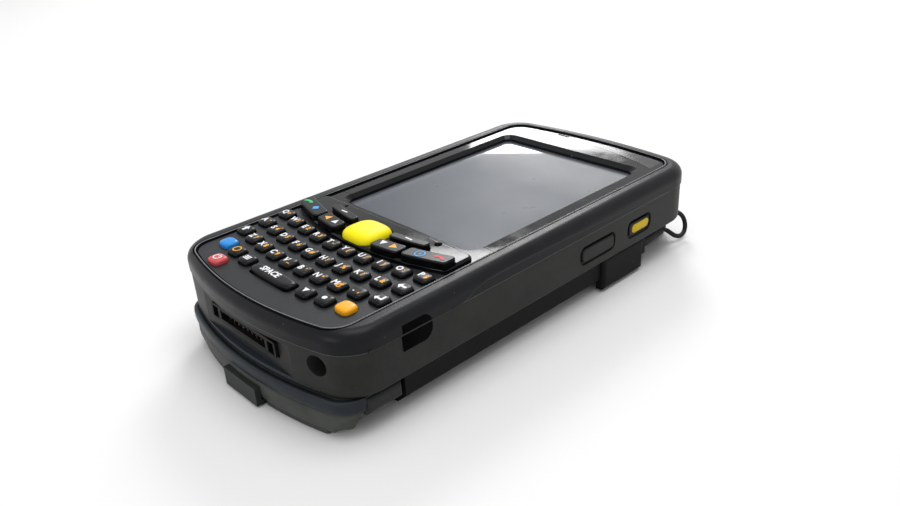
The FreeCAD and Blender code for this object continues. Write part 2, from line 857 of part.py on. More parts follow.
def battery_parts():
    top = up(housing_bottom_depth) - battery_gap
    half = pocket_half_width - battery_gap
    cell = box(-half, half, cover_low - battery_gap - weld, pocket_end_y - battery_gap, up(battery_depth), top)
    end = bowed(battery_end_half_width, battery_low, cover_low - battery_gap, low_end_radius, battery_flat_radius,
                battery_corner, up(battery_end_depth), top)
    end = end.makeFillet(battery_round, level(end, up(battery_end_depth)))
    lip = bowed(lip_half_width, battery_low - lip_proud, cover_low - battery_gap, low_end_radius,
                battery_flat_radius, battery_corner, up(lip_bottom_depth), top)
    foot = bowed(battery_foot_half_width, battery_low + battery_foot_set_back, battery_low + battery_foot_length,
                 low_end_radius, battery_flat_radius, battery_foot_corner, 0, up(battery_end_depth) + weld)
    scoop = box(half, battery_end_half_width + over, scoop_y, cover_low + over, -over - scoop_round, up(lobe_depth))
    scoop = scoop.makeFillet(scoop_round, [e for e in scoop.Edges if e.BoundBox.XLength > over
                                           and e.BoundBox.YMax < scoop_y + 1e-5
                                           and e.BoundBox.ZMin > up(lobe_depth) - 1e-5])
    for side in both_sides(scoop):
        end = end.cut(side)
    pack = cell.fuse(end).fuse(lip).fuse(foot)
    strap_top = up(battery_depth)
    pack = pack.cut(box(-strap_half_width - strap_room, strap_half_width + strap_room,
                        strap_taper_end - strap_room_end, 0, -over, strap_top))
    pack = pack.cut(box(-clip_half_width - strap_room, clip_half_width + strap_room,
                        battery_low - over, 0, -over, strap_top))
    inner = battery_end_half_width - latch_reach - latch_travel - fit_gap
    hold = box(inner, casing_half_width, latch_y - latch_length / 2 - fit_gap, latch_y + latch_length / 2 + fit_gap,
               up(latch_bottom_depth) - fit_gap, up(latch_top_depth) + fit_gap)
    for slot in both_sides(hold):
        pack = pack.cut(slot)
    write("battery_pack", pack)
    latch = box(battery_end_half_width - latch_reach, battery_end_half_width + latch_proud,
                latch_y - latch_length / 2, latch_y + latch_length / 2, up(latch_bottom_depth), up(latch_top_depth))
    outer = battery_end_half_width + latch_proud
    latch = latch.makeFillet(latch_round, [e for e in latch.Edges if e.BoundBox.XMin > outer - 1e-5])
    right, left = both_sides(latch)
    write("battery_latch_right", right)
    write("battery_latch_left", left)

    wide, deep, tall = contact_block
    base = up(housing_bottom_depth)
    block = box(-wide / 2, wide / 2, contact_block_y - deep / 2, contact_block_y + deep / 2, base, base + tall)
    wide, deep, tall = blade_size
    for index in range(blade_count):
        x = (index - (blade_count - 1) / 2) * blade_pitch
        block = block.fuse(box(x - wide / 2, x + wide / 2, contact_block_y - deep / 2, contact_block_y + deep / 2,
                               base - battery_gap, base + tall))
    write("battery_contacts", block)


def strap_parts():
    bar = Part.makeCylinder(bar_radius, 2 * anchor_half_width, V(-anchor_half_width, bar_y, bar_z), V(1, 0, 0))
    write("strap_bar", bar)
    eye = bar_radius + bar_gap
    outer = eye + strap_thickness
    low = bar_z - outer
    high = low + strap_thickness
    half = strap_half_width
    tip = strap_tip_half_width
    corners = [(-half, bar_y), (half, bar_y), (half, strap_taper_start), (tip, strap_taper_end),
               (tip, strap_end_y), (-tip, strap_end_y), (-tip, strap_taper_end), (-half, strap_taper_start)]
    wire = Part.makePolygon([V(x, y, low) for x, y in corners + corners[:1]])
    band_solid = Part.Face(wire).extrude(V(0, 0, high - low))
    loop = Part.makeCylinder(outer, 2 * half, V(-half, bar_y, bar_z), V(1, 0, 0))
    strap = band_solid.fuse(loop)
    strap = strap.cut(Part.makeCylinder(eye, 2 * (half + over), V(-half - over, bar_y, bar_z), V(1, 0, 0)))
    write("hand_strap", strap)
    leg = box(-clip_half_width, clip_half_width, clip_face_y, strap_end_y, low, high)
    plate = box(-clip_half_width, clip_half_width, clip_face_y, clip_face_y + clip_thickness, low, clip_top)
    clip = leg.fuse(plate)
    write("strap_clip", clip)


# Stylus

def tether_path():
    points = [V(*p) for p in tether_route]
    edges = []
    cursor = points[0]
    for before, corner, after in zip(points, points[1:], points[2:]):
        run_in = (corner - before).Length
        run_out = (after - corner).Length
        incoming = (corner - before).normalize()
        outgoing = (after - corner).normalize()
        turn = math.acos(max(-1.0, min(1.0, incoming.dot(outgoing))))
        trim = 0.45 * min(run_in, run_out)
        radius = trim / math.tan(turn / 2)
        print("tether turn", round(math.degrees(turn), 1), "radius", round(radius, 2))
        start = corner - incoming * trim
        end = corner + outgoing * trim
        inward = (outgoing - incoming).normalize()
        centre = corner + inward * (radius / math.cos(turn / 2))
        middle = centre - inward * radius
        edges.append(Part.LineSegment(cursor, start).toShape())
        edges.append(Part.Arc(start, middle, end).toShape())
        cursor = end
    edges.append(Part.LineSegment(cursor, points[-1]).toShape())
    return Part.Wire(edges)


def stylus_parts():
    z = up(stylus_depth)
    tip = Part.makeCone(stylus_tip_radius, stylus_radius, stylus_tip_length, V(stylus_x, stylus_low, z), V(0, 1, 0))
    barrel = along_y(stylus_radius, stylus_x, stylus_low + stylus_tip_length, cover_rail_high + fit_gap, z)
    head = along_y(stylus_head_radius, stylus_x, cover_rail_high + fit_gap,
                   cover_rail_high + fit_gap + stylus_head_length, z)
    write("stylus", tip.fuse(barrel).fuse(head))
    start = cover_rail_high + fit_gap + stylus_head_length
    ferrule = Part.makeCone(ferrule_big_radius, ferrule_small_radius, tether_route[-1][1] - start,
                            V(stylus_x, start, z), V(0, 1, 0))
    write("tether_ferrule", ferrule)
    path = tether_path()
    first = V(*tether_route[0])
    direction = (V(*tether_route[1]) - first).normalize()
    ring = Part.Wire([Part.makeCircle(tether_radius, first, direction)])
    tube = path.makePipeShell([ring], True, False)
    expected = math.pi * tether_radius ** 2 * path.Length
    print("tether length", round(path.Length, 2), "volume ratio", round(tube.Volume / expected, 4))
    write("tether_cord", tube)


room = display_parts()
face_parts()
frame_parts(room)
bumper_part()
housing_part()
button_parts()
board_parts()
connector_parts()
cover_parts()
battery_parts()
strap_parts()
stylus_parts()
for index, places in enumerate(letter_columns):
    write("letter_keys_" + str(index + 1), solid_of([plain_key(place) for place in places]))
for name, place in loose_keys.items():
    write(name, plain_key(place))
for name, plan in band_keys.items():
    for side, key in zip(("right", "left"), both_sides(band_key(*plan))):
        write(name + "_" + side, key)
write("scan_key", scan_key_solid())
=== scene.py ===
import bmesh
import bpy
import math
import numpy as np
from mathutils import Matrix, Vector


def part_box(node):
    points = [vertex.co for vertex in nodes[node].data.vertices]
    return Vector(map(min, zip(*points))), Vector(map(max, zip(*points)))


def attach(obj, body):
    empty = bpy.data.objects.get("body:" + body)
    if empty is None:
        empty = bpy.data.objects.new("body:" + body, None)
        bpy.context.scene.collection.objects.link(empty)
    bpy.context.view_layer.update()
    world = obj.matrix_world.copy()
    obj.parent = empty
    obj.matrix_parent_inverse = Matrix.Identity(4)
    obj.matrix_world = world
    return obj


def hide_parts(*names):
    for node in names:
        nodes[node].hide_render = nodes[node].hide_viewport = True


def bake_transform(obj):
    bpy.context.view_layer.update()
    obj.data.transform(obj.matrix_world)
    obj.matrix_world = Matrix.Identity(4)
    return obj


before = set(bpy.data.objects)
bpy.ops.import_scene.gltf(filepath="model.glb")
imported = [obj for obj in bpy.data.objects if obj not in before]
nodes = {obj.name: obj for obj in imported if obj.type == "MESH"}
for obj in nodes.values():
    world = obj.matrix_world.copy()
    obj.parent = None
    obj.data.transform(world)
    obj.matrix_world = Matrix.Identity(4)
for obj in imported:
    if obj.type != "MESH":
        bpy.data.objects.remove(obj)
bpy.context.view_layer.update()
mm = 0.001
faceHeight = 28.4  # of the face plane above the floor, mm
faceZ = faceHeight * mm
print("frame loaded", len(nodes), "nodes")


# Camera: solved from the key grid, the display edge and the casing outline
camera = {
    "place": (165.594, -151.234, 125.236),  # mm
    "forward": (-0.66093, 0.59896, -0.45212),
    "rollDegrees": -3.547,
    "lens": 32.951,
    "sensor": 36.0,
}


def addCamera():
    forward = Vector(camera["forward"]).normalized()
    right = forward.cross(Vector((0, 0, 1))).normalized()
    above = right.cross(forward)
    roll = math.radians(camera["rollDegrees"])
    turnedRight = math.cos(roll) * right + math.sin(roll) * above
    turnedUp = -math.sin(roll) * right + math.cos(roll) * above
    data = bpy.data.cameras.new("camera")
    data.lens = camera["lens"]
    data.sensor_width = camera["sensor"]
    data.clip_start = 0.005
    data.clip_end = 20
    obj = bpy.data.objects.new("camera", data)
    bpy.context.collection.objects.link(obj)
    turn = Matrix((turnedRight, turnedUp, -forward)).transposed()
    obj.matrix_world = Matrix.Translation(Vector(camera["place"]) * mm) @ turn.to_4x4()
    bpy.context.scene.camera = obj


addCamera()
print("camera placed")


# Mesh helpers

def meshObject(name, verts, faces, smooth=True):
    data = bpy.data.meshes.new(name)
    data.from_pydata(np.asarray(verts, float).tolist(), [], [list(map(int, f)) for f in faces])
    data.validate()
    data.polygons.foreach_set("use_smooth", [smooth] * len(data.polygons))
    data.update()
    obj = bpy.data.objects.new(name, data)
    bpy.context.collection.objects.link(obj)
    return obj


def gridFaces(rows, cols):
    # Quads between neighbouring rings of a tube, with cols points in each ring.
    r, c = np.meshgrid(np.arange(rows - 1), np.arange(cols), indexing="ij")
    n = (c + 1) % cols
    quads = np.stack([r * cols + c, r * cols + n, (r + 1) * cols + n, (r + 1) * cols + c], -1)
    return quads.reshape(-1, 4).tolist()


def ringsObject(rings, closeEnds=True):
    # A tube through closed loops, with a fan over each end; rings holds rows x cols points.
    rows, cols, _ = rings.shape
    verts = rings.reshape(-1, 3)
    faces = gridFaces(rows, cols)
    if closeEnds:
        verts = np.vstack([verts, rings[0].mean(0), rings[-1].mean(0)])
        first, last = rows * cols, rows * cols + 1
        faces += [[first, (i + 1) % cols, i] for i in range(cols)]
        faces += [[last, (rows - 1) * cols + i, (rows - 1) * cols + (i + 1) % cols] for i in range(cols)]
    return verts, faces


def joined(parts):
    verts, faces, count = [], [], 0
    for v, f in parts:
        verts.append(v)
        faces += [[i + count for i in face] for face in f]
        count += len(v)
    return np.vstack(verts), faces


# Shader groups

def newGroup(name, inputs, outputs):
    group = bpy.data.node_groups.new(name, "ShaderNodeTree")
    for label, kind, value in inputs:
        socket = group.interface.new_socket(label, in_out="INPUT", socket_type=kind)
        if value is not None:
            socket.default_value = value
    for label, kind in outputs:
        group.interface.new_socket(label, in_out="OUTPUT", socket_type=kind)
    return group, group.nodes.new("NodeGroupInput"), group.nodes.new("NodeGroupOutput")


def mathNode(tree, operation, a, b=None, clamp=False):
    node = tree.nodes.new("ShaderNodeMath")
    node.operation = operation
    node.use_clamp = clamp
    for index, value in enumerate((a, b)):
        if value is None:
            continue
        if isinstance(value, (int, float)):
            node.inputs[index].default_value = value
        else:
            tree.links.new(value, node.inputs[index])
    return node.outputs[0]


def noiseNode(tree, vector, scale, detail=3.0, roughness=0.55):
    node = tree.nodes.new("ShaderNodeTexNoise")
    node.inputs["Detail"].default_value = detail
    node.inputs["Roughness"].default_value = roughness
    tree.links.new(vector, node.inputs["Vector"])
    if isinstance(scale, (int, float)):
        node.inputs["Scale"].default_value = scale
    else:
        tree.links.new(scale, node.inputs["Scale"])
    return node.outputs["Fac"]


def rangeNode(tree, value, low, high, toLow=0.0, toHigh=1.0):
    node = tree.nodes.new("ShaderNodeMapRange")
    tree.links.new(value, node.inputs["Value"])
    for label, number in (("From Min", low), ("From Max", high), ("To Min", toLow), ("To Max", toHigh)):
        node.inputs[label].default_value = number
    return node.outputs[0]


def mixColour(tree, factor, a, b):
    node = tree.nodes.new("ShaderNodeMix")
    node.data_type = "RGBA"
    tree.links.new(factor, node.inputs["Factor"])
    for label, value in ((6, a), (7, b)):
        if isinstance(value, (tuple, list)):
            node.inputs[label].default_value = (*value[:3], 1)
        else:
            tree.links.new(value, node.inputs[label])
    return node.outputs[2]


vectorIn = ("Vector", "NodeSocketVector", None)
reliefOut = [("Height", "NodeSocketFloat"), ("Shade", "NodeSocketFloat")]


def numberIn(label, value):
    return label, "NodeSocketFloat", value


spark = {
    "fineDetail": 2.0, "fineShare": 0.6, "pebbleShare": 0.4,
    "mottling": (90.0, 4.0, 0.6),  # scale, detail, roughness
    "mottlingRange": (0.3, 0.7),
}


def sparkGrain():
    # Height: fine noise plus a rounder pebble; Shade: slow mottling of the colour.
    group, start, end = newGroup("sparkGrain", [vectorIn, numberIn("Scale", 3000.0)], reliefOut)
    fine = noiseNode(group, start.outputs["Vector"], start.outputs["Scale"], spark["fineDetail"])
    pebble = group.nodes.new("ShaderNodeTexVoronoi")
    group.links.new(start.outputs["Vector"], pebble.inputs["Vector"])
    group.links.new(start.outputs["Scale"], pebble.inputs["Scale"])
    height = mathNode(group, "ADD", mathNode(group, "MULTIPLY", fine, spark["fineShare"]),
                      mathNode(group, "MULTIPLY", pebble.outputs["Distance"], spark["pebbleShare"]))
    shade = noiseNode(group, start.outputs["Vector"], *spark["mottling"])
    group.links.new(height, end.inputs["Height"])
    group.links.new(rangeNode(group, shade, *spark["mottlingRange"]), end.inputs["Shade"])
    return group


specks = {
    "edge": (0.10, 0.05),  # distance from a cell's middle where a speck starts and is full
    "gather": (160.0, 3.0), "gatherRange": (0.48, 0.66),  # scale and detail of each noise, then its range
    "pick": (700.0, 1.0), "pickRange": (0.5, 0.56),
}


def dustSpecks():
    # Mask: small lint specks, gathered into patches by a slow noise and thinned out by a faster one.
    inputs = [vectorIn, numberIn("Scale", 420.0), numberIn("Amount", 0.5)]
    group, start, end = newGroup("dustSpecks", inputs, [("Mask", "NodeSocketFloat")])
    cells = group.nodes.new("ShaderNodeTexVoronoi")
    group.links.new(start.outputs["Vector"], cells.inputs["Vector"])
    group.links.new(start.outputs["Scale"], cells.inputs["Scale"])
    speck = rangeNode(group, cells.outputs["Distance"], *specks["edge"])
    slow = noiseNode(group, start.outputs["Vector"], *specks["gather"])
    gather = rangeNode(group, slow, *specks["gatherRange"])
    fast = noiseNode(group, start.outputs["Vector"], *specks["pick"])
    pick = rangeNode(group, fast, *specks["pickRange"])
    mask = mathNode(group, "MULTIPLY", mathNode(group, "MULTIPLY", speck, gather), pick)
    group.links.new(mathNode(group, "MULTIPLY", mask, start.outputs["Amount"], True), end.inputs["Mask"])
    return group


def webWeave():
    # Height and Shade of a plain weave: two sine rows of threads out of step, in UV units; Shade is painted
    # shade in the hollows.
    inputs = [vectorIn, numberIn("Across", 30.0), numberIn("Along", 120.0)]
    group, start, end = newGroup("webWeave", inputs, reliefOut)
    split = group.nodes.new("ShaderNodeSeparateXYZ")
    group.links.new(start.outputs["Vector"], split.inputs[0])
    rows = []
    for part, count in ((0, "Across"), (1, "Along")):
        turns = mathNode(group, "MULTIPLY", split.outputs[part], start.outputs[count])
        rows.append(mathNode(group, "SINE", mathNode(group, "MULTIPLY", turns, math.pi)))
    wave = mathNode(group, "MULTIPLY", rows[0], rows[1])
    height = rangeNode(group, wave, -1.0, 1.0)
    group.links.new(height, end.inputs["Height"])
    group.links.new(rangeNode(group, height, 0.1, 0.9), end.inputs["Shade"])
    return group


grainGroup = sparkGrain()
dustGroup = dustSpecks()
weaveGroup = webWeave()


surface = {
    "lintColour": (0.35, 0.35, 0.34),
    "grainDepth": 0.0002,  # metres
    "roughnessSpread": 0.05,
    "leastRoughness": 0.02,
}


def moulded(name, colour, rough, grain=2600.0, bump=0.10, dust=0.35, contrast=0.25, coat=0.0, metal=0.0,
            dustScale=420.0, gloss=0.3):
    # Moulded plastic or rubber: mottled colour, spark grain, lint.
    material = bpy.data.materials.new(name)
    material.use_nodes = True
    tree = material.node_tree
    shader = tree.nodes["Principled BSDF"]
    where = tree.nodes.new("ShaderNodeTexCoord").outputs["Object"]
    texture = tree.nodes.new("ShaderNodeGroup")
    texture.node_tree = grainGroup
    texture.inputs["Scale"].default_value = grain
    tree.links.new(where, texture.inputs["Vector"])
    lint = tree.nodes.new("ShaderNodeGroup")
    lint.node_tree = dustGroup
    lint.inputs["Scale"].default_value = dustScale
    lint.inputs["Amount"].default_value = dust
    tree.links.new(where, lint.inputs["Vector"])
    low = tuple(c * (1 - contrast) for c in colour)
    high = tuple(min(1.0, c * (1 + contrast)) for c in colour)
    base = mixColour(tree, texture.outputs["Shade"], low, high)
    base = mixColour(tree, lint.outputs["Mask"], base, surface["lintColour"])
    tree.links.new(base, shader.inputs["Base Color"])
    least = max(surface["leastRoughness"], rough - surface["roughnessSpread"])
    most = min(1.0, rough + surface["roughnessSpread"])
    roughness = rangeNode(tree, texture.outputs["Shade"], 0.0, 1.0, least, most)
    tree.links.new(roughness, shader.inputs["Roughness"])
    relief = tree.nodes.new("ShaderNodeBump")
    relief.inputs["Strength"].default_value = bump
    relief.inputs["Distance"].default_value = surface["grainDepth"]
    tree.links.new(texture.outputs["Height"], relief.inputs["Height"])
    tree.links.new(relief.outputs["Normal"], shader.inputs["Normal"])
    shader.inputs["Coat Weight"].default_value = coat
    shader.inputs["Metallic"].default_value = metal
    shader.inputs["Specular IOR Level"].default_value = gloss
    return material


clear = {"gloss": 0.06, "coatRoughness": 0.02, "dust": 0.25, "dustScale": 300.0}


def clearGlass(name, colour, rough, coat=0.5):
    # A matt window with a thin mirror coat over it.
    material = moulded(name, colour, rough, grain=900.0, bump=0.0, dust=clear["dust"], contrast=0.0,
                       dustScale=clear["dustScale"], gloss=clear["gloss"])
    shader = material.node_tree.nodes["Principled BSDF"]
    shader.inputs["Coat Weight"].default_value = coat
    shader.inputs["Coat Roughness"].default_value = clear["coatRoughness"]
    return material


def objectAxes(tree):
    split = tree.nodes.new("ShaderNodeSeparateXYZ")
    tree.links.new(tree.nodes.new("ShaderNodeTexCoord").outputs["Object"], split.inputs[0])
    return split.outputs


mirror = {"start": 28, "full": 44, "weight": 1.0}  # mm along the display


def mirrorTowardsTop(material):
    # The coat grows along the display, so that only its far end mirrors the room.
    tree = material.node_tree
    along = objectAxes(tree)[1]
    share = rangeNode(tree, along, mirror["start"] * mm, mirror["full"] * mm, 0.0, mirror["weight"])
    tree.links.new(share, tree.nodes["Principled BSDF"].inputs["Coat Weight"])


lowEnd = {
    # colour: the lip's blue-grey painted about twice as light, painted light that lifts the shade of the
    # recess below the connector
    "colour": (0.030, 0.038, 0.048),
    "height": 13.4, "blur": 0.1, "bow": 2.2, "halfWidth": 33, "start": -66, "full": -68,  # mm
}


def tintLowEnd(material):
    # The low end of the housing is blue-grey below a bowed line:
    # height over the floor = height - bow times (x over halfWidth) squared.
    # The tint is partly the plastic's own blue-grey and partly painted light that brightens the shaded
    # recess.
    tree = material.node_tree
    shader = tree.nodes["Principled BSDF"]
    x, y, z = objectAxes(tree)
    across = mathNode(tree, "MULTIPLY", x, 1 / (lowEnd["halfWidth"] * mm))
    bowed = mathNode(tree, "MULTIPLY", mathNode(tree, "MULTIPLY", across, across), lowEnd["bow"] * mm)
    height = mathNode(tree, "ADD", z, bowed)
    top = lowEnd["height"]
    lower = rangeNode(tree, height, (top + lowEnd["blur"]) * mm, (top - lowEnd["blur"]) * mm)
    end = rangeNode(tree, y, lowEnd["start"] * mm, lowEnd["full"] * mm)
    base = shader.inputs["Base Color"].links[0].from_socket
    mask = mathNode(tree, "MULTIPLY", lower, end)
    tree.links.new(mixColour(tree, mask, base, lowEnd["colour"]), shader.inputs["Base Color"])


weave = {"hollowShadeShare": 0.5, "relief": 0.6, "depth": 0.0003, "roughness": 0.85, "sheen": 0.2}


def webbing(name, colour):
    # Woven nylon: the relief, and the painted shade in the hollows between the threads, come from one weave
    # group over the strap's UV.
    material = bpy.data.materials.new(name)
    material.use_nodes = True
    tree = material.node_tree
    shader = tree.nodes["Principled BSDF"]
    threads = tree.nodes.new("ShaderNodeGroup")
    threads.node_tree = weaveGroup
    tree.links.new(tree.nodes.new("ShaderNodeTexCoord").outputs["UV"], threads.inputs["Vector"])
    low = tuple(c * weave["hollowShadeShare"] for c in colour)
    tree.links.new(mixColour(tree, threads.outputs["Shade"], low, colour), shader.inputs["Base Color"])
    relief = tree.nodes.new("ShaderNodeBump")
    relief.inputs["Strength"].default_value = weave["relief"]
    relief.inputs["Distance"].default_value = weave["depth"]
    tree.links.new(threads.outputs["Height"], relief.inputs["Height"])
    tree.links.new(relief.outputs["Normal"], shader.inputs["Normal"])
    shader.inputs["Roughness"].default_value = weave["roughness"]
    shader.inputs["Sheen Weight"].default_value = weave["sheen"]
    return material


# Finishes: name, colour, roughness, grain scale, bump, dust, contrast, coat
look = {
    "bumper": moulded("bumperRubber", (0.0062, 0.0068, 0.0080), 0.34, 2200.0, 0.10, 0.5, gloss=0.14),
    "gloss": moulded("glossBlack", (0.003, 0.0033, 0.0042), 0.07, 1200.0, 0.002, 0.4, 0.1, dustScale=300.0,
                     gloss=0.16),
    "plate": moulded("keypadPlate", (0.0165, 0.0185, 0.0210), 0.42, 3400.0, 0.20, 0.35, gloss=0.14),
    "lightBar": moulded("smokedBar", (0.008, 0.009, 0.011), 0.16, 1800.0, 0.02, 0.4, gloss=0.3),
    "glass": clearGlass("displayGlass", (0.082, 0.092, 0.108), 0.32, 0.0),
    "housing": moulded("housingPlastic", (0.0235, 0.0250, 0.0222), 0.46, 2400.0, 0.20, 0.4, gloss=0.12),
    "cover": moulded("coverPlastic", (0.0085, 0.0080, 0.0078), 0.55, 2400.0, 0.22, 0.4, gloss=0.08),
    "battery": moulded("batteryPlastic", (0.054, 0.058, 0.053), 0.48, 2400.0, 0.20, 0.4, gloss=0.14),
    "lip": moulded("lipPlastic", (0.0150, 0.0195, 0.0255), 0.40, 2400.0, 0.12, 0.3, gloss=0.16),
    "key": moulded("keyRubber", (0.0026, 0.0028, 0.0036), 0.28, 2600.0, 0.03, 0.15, gloss=0.15),
    "blue": moulded("keyBlue", (0.012, 0.25, 0.70), 0.32, 2600.0, 0.05, 0.15, 0.12),
    "orange": moulded("keyOrange", (0.92, 0.39, 0.004), 0.32, 2600.0, 0.05, 0.15, 0.12),
    "red": moulded("keyRed", (0.62, 0.075, 0.085), 0.32, 2600.0, 0.05, 0.15, 0.12),
    "yellow": moulded("keyYellow", (0.93, 0.80, 0.0), 0.42, 2600.0, 0.04, 0.1, 0.04, gloss=0.2),
    "patch": moulded("patchYellow", (0.58, 0.40, 0.012), 0.5, 2600.0, 0.05, 0.2, 0.12, gloss=0.2),
    "dark": moulded("darkPlastic", (0.006, 0.006, 0.007), 0.5, 2600.0, 0.1, 0.1, gloss=0.1),
    "pit": moulded("shadowedGroove", (0.0022, 0.0022, 0.0026), 0.8, 2600.0, 0.05, 0.0, 0.1, gloss=0.02),
    # painted highlight: a light grey for the bead that stands in for the glint on the face's edge
    "edge": moulded("edgeHighlightPaint", (0.16, 0.17, 0.185), 0.25, 1500.0, 0.02, 0.2, 0.2, gloss=0.5),
    # painted highlight: a pale grey for the bead that stands in for the glint along the seam
    "seam": moulded("seamHighlightPaint", (0.060, 0.063, 0.064), 0.4, 1500.0, 0.02, 0.2, 0.2, gloss=0.25),
    "rubber": moulded("sealRubber", (0.012, 0.012, 0.013), 0.55, 2600.0, 0.1, 0.1, gloss=0.15),
    "gold": moulded("goldContacts", (0.34, 0.27, 0.15), 0.4, 1500.0, 0.03, 0.1, 0.1, metal=1.0),
    "steel": moulded("blackSteel", (0.18, 0.18, 0.19), 0.35, 1500.0, 0.05, 0.1, 0.15, metal=1.0),
    "alloy": moulded("castAlloy", (0.35, 0.36, 0.37), 0.45, 1500.0, 0.2, 0.1, 0.15, metal=1.0),
    "board": moulded("solderMask", (0.01, 0.09, 0.035), 0.35, 1500.0, 0.03, 0.1),
    "scanGlass": clearGlass("scanGlass", (0.05, 0.004, 0.006), 0.08),
    "clip": moulded("clipPlastic", (0.020, 0.022, 0.022), 0.45, 2400.0, 0.2, 0.4, gloss=0.16),
    "white": moulded("legendWhite", (0.80, 0.81, 0.83), 0.5, 2600.0, 0.03, 0.0, 0.06),
    "amber": moulded("legendAmber", (0.88, 0.40, 0.03), 0.5, 2600.0, 0.03, 0.0, 0.06),
    "sky": moulded("legendBlue", (0.04, 0.34, 0.76), 0.5, 2600.0, 0.03, 0.0, 0.06),
    "green": moulded("legendGreen", (0.02, 0.42, 0.14), 0.5, 2600.0, 0.03, 0.0, 0.06),
    "rose": moulded("legendRed", (0.55, 0.05, 0.07), 0.5, 2600.0, 0.03, 0.0, 0.06),
    "web": webbing("nylonWebbing", (0.02, 0.02, 0.022)),
}
mirrorTowardsTop(look["glass"])
tintLowEnd(look["housing"])

nodeLooks = {
    "bumper_frame": "bumper", "display_bezel": "gloss", "nav_panel": "gloss", "keypad_plate": "plate",
    "light_bar": "lightBar", "touch_panel": "glass", "display_gasket": "rubber", "display_module": "dark",
    "mid_frame": "alloy", "receiver": "dark", "keypad_membrane": "rubber", "rear_housing": "housing",
    "function_button": "housing", "scan_button_right": "bumper", "scan_button_left": "bumper",
    "volume_button": "housing", "main_board": "board", "speaker": "dark", "io_connector": "dark",
    "io_contacts": "gold", "headset_jack": "dark", "rear_cover": "cover", "exit_window": "scanGlass",
    "scan_engine": "dark", "cover_screws": "steel", "battery_pack": "battery",
    "battery_latch_right": "clip", "battery_latch_left": "clip", "battery_contacts": "gold",
    "strap_bar": "steel", "strap_clip": "clip", "stylus": "clip", "tether_ferrule": "rubber",
    "scan_key": "yellow", "blue_key": "blue", "orange_key": "orange", "power_key": "red",
}
for name, obj in nodes.items():
    obj.data.materials.clear()
    obj.data.materials.append(look[nodeLooks.get(name, "key")])
print("finishes set")


# Keys: pillowed caps in place of the plain prisms
keypad = {
    "topAboveFace": 1.3,
    "skirtReach": 0.14,  # how far the cap spreads past the prism, in its hole's clearance
    "points": 48,
    "squareness": 3.3,
    "scanSquareness": 3.1,
    "capHeight": 4.3,
    "flange": 0.5,
}
# Profiles of the caps, in mm: how far each ring is drawn in, and its height above the face
capRings = ((0.0, -2.6), (0.0, 0.2), (0.04, 0.5), (0.10, 0.78), (0.24, 1.00), (0.46, 1.15), (0.78, 1.24),
            (1.15, 1.285), (1.6, 1.30))  # letter keys and the other low keys
scanRings = ((0.0, -2.6), (0.0, 1.0), (0.10, 1.6), (0.36, 2.15), (0.80, 2.60), (1.45, 2.93), (2.3, 3.14),
             (3.3, 3.25), (4.4, 3.30))


def capPart(low, high, profile=capRings, squareness=keypad["squareness"]):
    # Rings of a superellipse, each drawn in and raised: x is half the width times the cosine to the power of
    # two over the squareness, and y the same with half the depth and the sine.
    centre = (low + high) / 2
    half = (high - low) / 2
    t = np.linspace(0, 2 * math.pi, keypad["points"], endpoint=False)
    power = 2 / squareness
    cx = np.sign(np.cos(t)) * np.abs(np.cos(t)) ** power
    cy = np.sign(np.sin(t)) * np.abs(np.sin(t)) ** power
    rings = []
    for inset, height in profile:
        a = half[0] + (keypad["skirtReach"] - inset) * mm
        b = half[1] + (keypad["skirtReach"] - inset) * mm
        z = np.full_like(t, faceZ + height * mm)
        rings.append(np.stack([centre[0] + a * cx, centre[1] + b * cy, z], -1))
    return ringsObject(np.array(rings))


def solidBoxes(node):
    # Corner pairs of each cap in a node: a column of three is cut into equal caps along Y.
    low, high = (np.array(corner, float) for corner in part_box(node))
    count = 3 if node in letterColumns else 1
    tall = (keypad["capHeight"] + 2 * keypad["flange"]) * mm
    step = (high[1] - low[1] - tall) / max(1, count - 1)
    pairs = []
    for row in range(count):
        top = high[1] - row * step
        pairs.append((np.array([low[0], top - tall, low[2]]), np.array([high[0], top, high[2]])))
    return pairs


keyFlange = keypad["flange"] * mm
letterColumns = ["letter_keys_%d" % (i + 1) for i in range(10)]
plainKeys = ["blue_key", "symbol_key", "menu_key", "space_key", "view_key", "record_key", "orange_key",
             "power_key"]
keyCentres = {}


def addCaps(node, material):
    parts = []
    keyCentres[node] = []
    for low, high in solidBoxes(node):
        low[1] += keyFlange
        high[1] -= keyFlange
        parts.append(capPart(low, high))
        keyCentres[node].append((low + high) / 2)
    cap = meshObject(node + "_caps", *joined(parts))
    cap.data.materials.append(look[material])
    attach(cap, node + "_body")
    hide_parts(node)


for node in letterColumns + plainKeys:
    addCaps(node, nodeLooks.get(node, "key"))

scanLow, scanHigh = (np.array(corner, float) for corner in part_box("scan_key"))
scanLow[1] += keyFlange / 2
scanHigh[1] -= keyFlange / 2
scanCap = meshObject("scan_key_cap", *capPart(scanLow, scanHigh, scanRings, keypad["scanSquareness"]))
scanCap.data.materials.append(look["yellow"])
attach(scanCap, "scan_key_body")
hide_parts("scan_key")
print("key caps made")


# Legends
letters = {
    "rows": ["QWERTYUIOP", "ASDFGHJKL<", "^ZXCVBNM.="],
    "marks": ["+123-(/):$", "*456#!%?&", ";789_'\"@,"],
    "size": 2.6,
    "markSize": 2.1,
    "weight": 0.035,  # how much the strokes are fattened, as a share of the letter size
    "thickness": 0.04,
    "lift": 0.03,
    "letterShift": -0.85, "markShift": 1.05, "markDrop": -0.1, "iconSize": 2.3,
}


